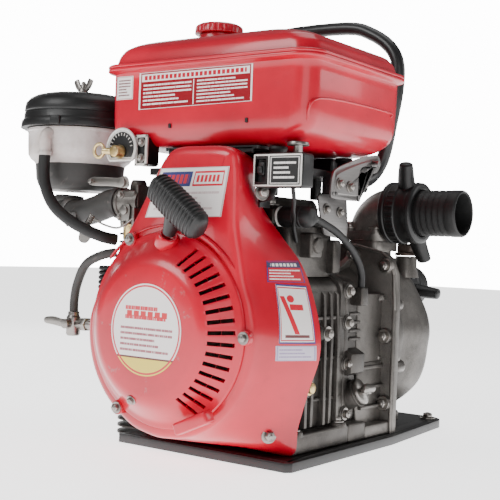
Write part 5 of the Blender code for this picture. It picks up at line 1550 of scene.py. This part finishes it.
def fuel_controls():
    x, y, z = DIAL
    arc = [polar(21.5, a, (x, z)) for a in range(-38, 219, 8)]
    plate = Shape().prism(arc, 'y', y + 1.2, y + 2.8)
    rim = [(px, y + 1.2, pz) for px, pz in [polar(20.6, a, (x, z)) for a in range(-38, 219, 8)]]
    plate.tube(rim, 1.5, 14)
    plate.tube([rim[-1], Vector(rim[-1]).lerp(Vector(rim[0]), 0.5), rim[0]], 1.5, 14)
    piece("fuel_dial", plate, CERAMIC, ["fuel_dial_plate"], bevel=0)
    face = [polar(17.6, a, (x, z)) for a in range(-34, 215, 8)]
    dark = Shape().prism(face, 'y', y + 0.6, y + 1.6)
    dark.rod((x, y + 2, z - 4), (x, y + 13, z - 4), 10, 40)
    piece("fuel_dial_face", dark, BLACK_PLASTIC, bevel=0.3)
    marks = Shape()
    for turn in range(10, 171, 16):
        a = polar(13.6, turn, (x, z))
        b = polar(16.4, turn, (x, z))
        marks.tube([(a[0], y + 0.5, a[1]), (b[0], y + 0.5, b[1])], 0.5, 8)
    piece("fuel_dial_marks", marks, CERAMIC, bevel=0)
    lever = Shape().turned([(y - 12, 0), (y - 12, 4.6), (y - 10.6, 6.2), (y - 4, 6.6),
                            (y - 2.2, 7.4), (y - 0.3, 7.4), (y - 0.3, 0)], (x, 0, z - 4),
                           (0, 1, 0), 48)
    arm = curve_through([(x + 3, y - 7, z - 4.4), (x - 8, y - 8, z - 4),
                         (x - 17, y - 9, z - 3.4)], 6)
    lever.tube(arm, 3.6, 28, flat=(0.8, 1.0))
    loop = [polar(7.2, 10 * k, (x - 23, z - 3)) for k in range(37)]
    lever.tube([(px, y - 9, pz) for px, pz in loop], 1.9, 16)
    piece("fuel_tap_lever", lever, BRASS, ["fuel_lever"], body="fuel_lever", bevel=0.4)
    stay = Shape()
    for low, high in (((-97, 296), (-94, 329)), ((-83, 296), (-80, 329)), ((-97, 326), (-80, 329)),
                      ((-97, 296), (-80, 299))):
        stay.box((low[0], -222.6, low[1]), (high[0], -219.6, high[1]), 0.6)
    piece("dial_stay", stay, CERAMIC, bevel=0)
    well = Shape().box((-95, -221, 298), (-82, -200, 327), 0.7)
    piece("dial_well", well, BLACK_PLASTIC, bevel=0)
    bolts("dial_bolts", [((-87, -222.6, 304), (0, -1, 0)), ((-87, -222.6, 321), (0, -1, 0))],
          across=5.5, height=3)

    cx, cy, cz = DRAIN_COCK
    cock = Shape().turned([(cz - 22, 0), (cz - 22, 6.5), (cz - 20, 8), (cz - 1, 8), (cz + 1, 6.4),
                           (cz + 5, 6.4), (cz + 6, 4.8), (cz + 7, 0)], (cx, cy, 0), (0, 0, 1), 40)
    cock.rod((cx, cy, cz - 8), (cx + 40, cy + 2, cz - 8), 5.6, 32)
    cock.turned([(cx + 14, 0), (cx + 14, 8), (cx + 22, 8), (cx + 22, 0)], (0, cy + 1, cz - 8),
                (1, 0, 0), 6)
    piece("drain_cock_body", cock, PLATED, ["drain_cock"], bevel=0.5)
    wing = Shape().rod((cx, cy - 15, cz - 8), (cx, cy - 8.3, cz - 8), 5.6, 32)
    blade = flat_curve([(cx + 4, cz - 4), (cx - 6, cz - 3), (cx - 20, cz - 1), (cx - 33, cz - 3),
                        (cx - 33, cz - 9), (cx - 20, cz - 10.5), (cx - 6, cz - 12),
                        (cx + 4, cz - 12)], 5)
    wing.prism(blade, 'y', cy - 13.4, cy - 10.6)
    piece("drain_cock_wing", wing, PLATED, ["drain_cock_lever"], body="drain_cock_lever", bevel=0.5)
    bx, by = cx + 54.3, cy + 4
    bowl = Shape().turned([(104, 0), (104, 8), (106, 9), (109, 13), (114, 15), (124, 15),
                           (125, 14), (126, 14), (127, 15), (151, 15), (152, 16.4), (156, 16.4),
                           (157, 14.4), (163, 13), (166, 10), (166, 0)], (bx, by, 0), (0, 0, 1), 56)
    bowl.box((bx - 4, by + 6, 124), (-92.3, by + 12, 150), 1.5)
    piece("sediment_chamber", bowl, BRASS, ["sediment_bowl"], bevel=0.3)
    path = curve_through([(cx, cy, 134), (cx, cy, 147), (-198, -199, 166), (-180, -205, 188),
                          (-156, -206, 199), (-140, -200, 203)], 8)
    hose("fuel_line", path, 5.0, GREY_HOSES, GREY_RUBBER, ["fuel_hose"],
         step=1.6, sides=24)
    drum = Shape()
    for k in range(7):
        drum.turned([(150 + 5.4 * k, 0), (150 + 5.4 * k, 10), (151.4 + 5.4 * k, 11.4),
                     (153.4 + 5.4 * k, 11.4), (155 + 5.4 * k, 10), (155 + 5.4 * k, 0)],
                    (-170, -178, 0), (0, 0, 1), 40)
    piece("ribbed_bellows", drum, BLACK_RUBBER, bevel=0.3)


# ---------------------------------------------------------------- oil cap and pump

def oil_cap():
    axis = Vector((22, 4, 10)).normalized()
    base = Vector((92, -58, 62)) + axis * 0.5
    cap = Shape().turned([(0, 0), (0, 14.4), (1.4, 14.8), (4.6, 14.4), (6, 12), (7, 7), (8, 6),
                          (13, 6), (14, 5), (14, 0)], base, axis, 48)
    top = base + axis * 12.4
    across = (Vector((0, 1, 0)) - axis * axis.y).normalized()
    grip = [top + across * d for d in (-14, -12.6, -8, 0, 8, 12.6, 14)]
    cap.tube(grip, [2.4, 4.4, 4.9, 4.7, 4.9, 4.4, 2.4], 32, flat=(0.85, 1.0))
    piece("oil_filler_cap", cap, PLATED, ["oil_cap"], body="oil_cap", bevel=0.4)


def rib(shape, inner, outer, low, high, thick=3.0, drop=10.0):
    """A sloping web from the barrel out to the flange."""
    dx, dz = outer[0] - inner[0], outer[1] - inner[1]
    length = math.hypot(dx, dz)
    nx, nz = -dz / length * thick, dx / length * thick
    corners = [(inner, low), (inner, high), (outer, high), (outer, high - drop)]
    shape.skin([[(p[0] + s * nx, y, p[1] + s * nz) for p, y in corners] for s in (-1, 1)])


def pump_adapter():
    outline = [(97, 10.3), (97, 150), (95, 190), (88, 208), (78, 215), (45, 222), (-70, 222),
               (-100, 212), (-112, 190), (-116, 130), (-114, 10.3)]
    shape = Shape().prism(outline, 'y', 13, 22)
    shape.prism(inset(outline, 0.8), 'y', 10, 14)
    shape.turned([(-43.7, 48), (-43.7, 70), (-36, 70), (-34, 66.5), (-20, 68), (14, 82),
                  (14, 62), (-20, 52)], (CRANK_X, 0, CRANK_Z), (0, 1, 0), 96)
    shape.box((-97, -43.7, 10.3), (95, 22, 24), 2.0)
    for angle in (58, 20, -22, 122, 160, 202):
        rib(shape, polar(60, angle), polar(98 if angle not in (58, 20) else 100, angle), -22, 14,
            2.8, 8)
    for x in (-84, 70):
        shape.box((x, -43.7, 20), (x + 12, 14, 92), 2.5)
        shape.box((x + 2, -43.7, 88), (x + 10, 10, 168), 2.0)
    for z in (40, 62, 84):
        shape.box((78, -40, z), (88 - 0.03 * z, 10, z + 4), 1.2)
    for (x0, z0), (x1, z1) in zip(outline[:8], outline[1:9]):
        shape.tube([(x0 - 1.5, 10.6, z0), ((x0 + x1) / 2 - 1.5, 10.6, (z0 + z1) / 2),
                    (x1 - 1.5, 10.6, z1)], 2.0, 12)
    bosses = ((84, 200), (86, 120), (88, 44), (40, 210), (-60, 212), (-98, 190), (-104, 100),
              (-100, 40))
    for x, z in bosses:
        shape.turned([(6, 0), (6, 8), (11, 9.4), (11, 0)], (x, 0, z), (0, 1, 0), 36)
    piece("pump_adapter_casting", shape, CAST_PALE, ["pump_adapter"], bevel=0.8)
    bolts("adapter_bolts", [((x, 6, z), (0, -1, 0)) for x, z in bosses], across=9)


def casing_radius(angle):
    """Snail outline: small at the upper right, growing down and round to the left."""
    table = ((-180, 106), (-135, 114), (-90, 116), (-41, 117), (-10, 107), (30, 96), (60, 91),
             (90, 90), (135, 96), (180, 106))
    for (a0, r0), (a1, r1) in zip(table, table[1:]):
        if a0 <= angle <= a1:
            t = (angle - a0) / (a1 - a0)
            return r0 + (r1 - r0) * t * t * (3 - 2 * t)
    return table[-1][1]


def pump_casing():
    def snail(shrink, count=144):
        return [polar(casing_radius(-180 + 360 * k / count) - shrink, -180 + 360 * k / count)
                for k in range(count)]

    levels = [(22.3, 0), (34, 0), (35.5, 1.6), (38, 3.4), (44, 4), (60, 2), (78, 0.6), (96, 0.6)]
    for k in range(1, 9):
        turn = math.radians(90 * k / 8)
        levels.append((96 + 26 * math.sin(turn), 0.6 + 21 * (1 - math.cos(turn))))
    shape = Shape().skin([[(x, y, z) for x, z in snail(s)] for y, s in levels])
    rise = OUTLET[0] - 34
    shape.turned([(186, 0), (186, 30), (196, 27), (216, 26), (222, 27), (222, 0)],
                 (rise, 68, 0), (0, 0, 1), 64)
    shape.prism(round_rect(0, 55, 40, 96, 12, 8), 'z', 217, 227.9)
    shape.turned([(186, 0), (186, 16), (200, 13), (211.8, 13), (211.8, 0)], (60, 103, 0),
                 (0, 0, 1), 48)
    shape.turned([(112, 0), (112, 38), (120, 33), (133.8, 31), (133.8, 0)], (15, 0, 172),
                 (0, 1, 0), 72)
    shape.box((-70, 50, 10.3), (60, 100, 24), 3.0)
    for k in range(6):
        angle = 20 + 60 * k
        rib(shape, polar(30, angle), polar(86, angle), 112, 123.5, 2.4, 6)
    shape.turned([(119, 0), (119, 30), (126, 27), (126, 0)], (CRANK_X, 0, CRANK_Z), (0, 1, 0), 64)
    lugs = [(polar(casing_radius(a) - 3, a)) for a in (-160, -115, -70, -25, 15, 140)]
    for x, z in lugs:
        shape.rod((x, 22.6, z), (x, 40, z), 8, 32)
    piece("pump_casing_casting", shape, CAST_PALE, ["pump_casing"],
          cuts=[Shape().rod((15, 90, 172), (15, 150, 172), 22, 64)], bevel=0.6)
    bolts("casing_bolts", [((x, 40, z), (0, 1, 0)) for x, z in lugs], across=9)
    plug = Shape().turned([(212.3, 0), (212.3, 14), (215.6, 14), (216.4, 11), (217, 11), (217, 0)],
                          (60, 103, 0), (0, 0, 1), 48)
    plug.box((51, 94, 216), (69, 112, 227), 2.0)
    piece("priming_plug_head", plug, DARK_IRON, ["priming_plug"], body="priming_plug", bevel=0.4)


def coupling(name, node, centre, axis, wing_axis):
    """Black claw nut: ribbed ring, two wings and a raised collar."""
    profile = [(-6, 32), (-6, 35), (-5, 36.5), (0, 36.5), (1, 35.2), (3, 35.2), (4, 36.8),
               (14, 36.8), (15, 35.6), (22, 35.2), (28, 35.6), (29, 36.4), (34, 35.8), (36, 33),
               (36, 27.8), (30, 27.8), (7, 27.8), (7, 32)]
    nut = Shape().turned(profile, centre, axis, 120)
    unit, side, up = frame_of(axis)
    wing = Vector(wing_axis).normalized()
    middle = Vector(centre) + unit * 22
    for sign in (-1, 1):
        path = curve_through([middle + wing * sign * r + unit * s
                              for r, s in ((30, 0), (40, 0), (50, 1.6), (58, 3.2), (64, 4))], 5)
        count = len(path)
        radii = [11.2 - 3.2 * k / (count - 1) for k in range(count)]
        radii[-1], radii[-2] = 4.4, 6.8
        nut.tube(path, radii, 36, flat=(1.0, 0.8))
    for k in range(36):
        turn = 2 * math.pi * k / 36
        out = side * math.cos(turn) + up * math.sin(turn)
        if abs(out.dot(wing)) < 0.93:
            nut.tube([Vector(centre) + unit * a + out * 36.3 for a in (4.6, 9, 13.6)], 1.3, 8)
    piece(name, nut, BLACK_PLASTIC, [node], body=node, bevel=0.4)


def stub(name, node, centre, axis, length):
    """Hose tail with worn rings and a thick dark end."""
    profile = [(0.3, 23.5), (0.3, 31.4), (6.5, 31.4), (6.5, 27.2), (38, 26.6), (39, 27.0)]
    step = 40.0
    while step < length - 16:
        profile += [(step, 27.0), (step + 4.0, 25.8), (step + 4.6, 27.0)]
        step += 7.4
    profile += [(length - 13, 27.2), (length - 2.4, 27.2), (length - 0.8, 26.4), (length, 25.4),
                (length, 24.4), (length - 1, 23.5)]
    piece(name, Shape().turned(profile, centre, axis, 96), BLACK_RUBBER, [node], bevel=0.3)


def hose_ports():
    x0, bend = OUTLET[0] - 34, 30
    arc = [(x0, 68, 229), (x0, 68, 231)]
    for k in range(17):
        a = math.radians(180 - 90 * k / 16)
        arc.append((x0 + bend + bend * math.cos(a), 68, 263 - bend + bend * math.sin(a)))
    arc.append(OUTLET)
    radii = [27, 25] + [24.5 + 5 * k / 16 for k in range(17)] + [30]
    elbow = Shape().tube(arc, radii, 72)
    elbow.prism(round_rect(2, 54, 42, 94, 12, 8), 'z', 228.3, 239.5)
    elbow.turned([(-9, 0), (-9, 29.5), (-7, 31.5), (-6.5, 31.5), (-6.5, 0)], OUTLET, (1, 0, 0), 72)
    places = []
    for x in (10, 46):
        for y in (49, 87):
            elbow.rod((x, y, 236), (x, y, 243), 7.4, 32)
            places.append(((x, y, 243), (0, 0, 1)))
    bore = Shape().tube([(x0, 68, 220)] + arc[1:] + [(OUTLET[0] + 20, 68, 263)], 22, 48)
    piece("discharge_elbow_casting", elbow, CAST_PALE, ["discharge_elbow"], cuts=[bore], bevel=0.6)
    bolts("elbow_bolts", places, across=10, height=6)
    coupling("discharge_claw", "discharge_coupling", OUTLET, (1, 0, 0), (0, -0.46, 0.89))
    stub("discharge_hose_tail", "discharge_stub", OUTLET, (1, 0, 0), 88)
    coupling("suction_claw", "suction_coupling", INLET, (0, 1, 0), (0.99, 0, -0.1))
    stub("suction_hose_tail", "suction_stub", INLET, (0, 1, 0), 70)


# ---------------------------------------------------------------- inner pieces keep their CAD shape

def inner_finishes():
    inside = {
        GROUND_STEEL: ("crankshaft_front", "crankshaft_rear", "camshaft", "wrist_pin",
                       "connecting_rod", "intake_valve", "exhaust_valve", "recoil_spring"),
        CAST: ("piston",),
        DARK_IRON: ("flywheel", "starter_cup", "impeller"),
        BLACK_PAINT: ("shroud_back_plate",),
        BLACK_PLASTIC: ("recoil_pulley",),
        FOAM: ("filter_element",),
        BLACK_RUBBER: ("shaft_seal",),
    }
    for material, names in inside.items():
        for name in names:
            mesh = frame["nodes"][name].data
            mesh.materials.clear()
            mesh.materials.append(material)


# ---------------------------------------------------------------- floor, light and camera

def floor():
    mesh = bmesh.new()
    bmesh.ops.create_grid(mesh, x_segments=1, y_segments=1, size=6.0)
    data = bpy.data.meshes.new("studio_floor")
    mesh.to_mesh(data)
    mesh.free()
    data.materials.append(floor_finish("pale_floor"))
    ground = link("studio_floor", data)
    ground.location.z = -0.0005


def soft_light(name, position, target, size, power):
    lamp = bpy.data.lights.new(name, 'AREA')
    lamp.shape = 'RECTANGLE'
    lamp.size, lamp.size_y = size
    lamp.energy = power
    holder = bpy.data.objects.new(name, lamp)
    bpy.context.scene.collection.objects.link(holder)
    holder.location = position
    aim = Vector(target) - Vector(position)
    holder.rotation_euler = aim.to_track_quat('-Z', 'Y').to_euler()


def studio():
    world = bpy.data.worlds.new("studio")
    world.use_nodes = True
    back = world.node_tree.nodes["Background"]
    back.inputs["Color"].default_value = (1.0, 1.0, 1.0, 1.0)
    # a white backdrop that lights the engine only softly
    seen = world.node_tree.nodes.new("ShaderNodeLightPath")
    level = world.node_tree.nodes.new("ShaderNodeMapRange")
    level.inputs["To Min"].default_value = 0.16
    level.inputs["To Max"].default_value = 14.0
    world.node_tree.links.new(seen.outputs["Is Camera Ray"], level.inputs["Value"])
    world.node_tree.links.new(level.outputs[0], back.inputs["Strength"])
    bpy.context.scene.world = world
    middle = (0.0, -0.05, 0.22)
    soft_light("key", (-0.55, -1.5, 1.25), middle, (0.9, 0.7), 15.0)
    soft_light("front_fill", (1.3, -1.3, 0.7), middle, (1.0, 0.8), 4.0)
    soft_light("top", (0.0, 0.1, 1.5), middle, (0.9, 0.9), 5.0)
    soft_light("back_left", (-1.3, 0.6, 0.8), middle, (0.7, 0.7), 5.0)
    soft_light("back_right", (1.2, 1.1, 0.9), middle, (0.7, 0.7), 5.0)


def camera():
    lens = bpy.data.cameras.new("camera")
    lens.sensor_width = 36.0
    lens.lens = 75.6
    lens.clip_start = 0.05
    holder = bpy.data.objects.new("camera", lens)
    bpy.context.scene.collection.objects.link(holder)
    turn, roll = math.radians(36.0), math.radians(2.3)
    right = Vector((math.cos(turn), math.sin(turn), 0.0))
    up = Vector((0.0, 0.0, 1.0))
    back = Vector((math.sin(turn), -math.cos(turn), 0.0))
    across = right * math.cos(roll) + up * math.sin(roll)
    upright = up * math.cos(roll) - right * math.sin(roll)
    place = Matrix((across, upright, back)).transposed().to_4x4()
    place.translation = (0.6612, -1.0506, 0.2117)
    holder.matrix_world = place
    bpy.context.scene.camera = holder


def main():
    camera()
    floor()
    studio()
    inner_finishes()
    for build in (base_plate, fan_shroud, recoil_case, starter_grip, fuel_tank, tank_support,
                  carry_handle, handle_bracket, crankcase, crankcase_cover, cylinder,
                  cylinder_head, ignition, switch_box, muffler, air_cleaner, carburettor,
                  fuel_controls, oil_cap, pump_adapter, pump_casing, hose_ports):
        build()


main()
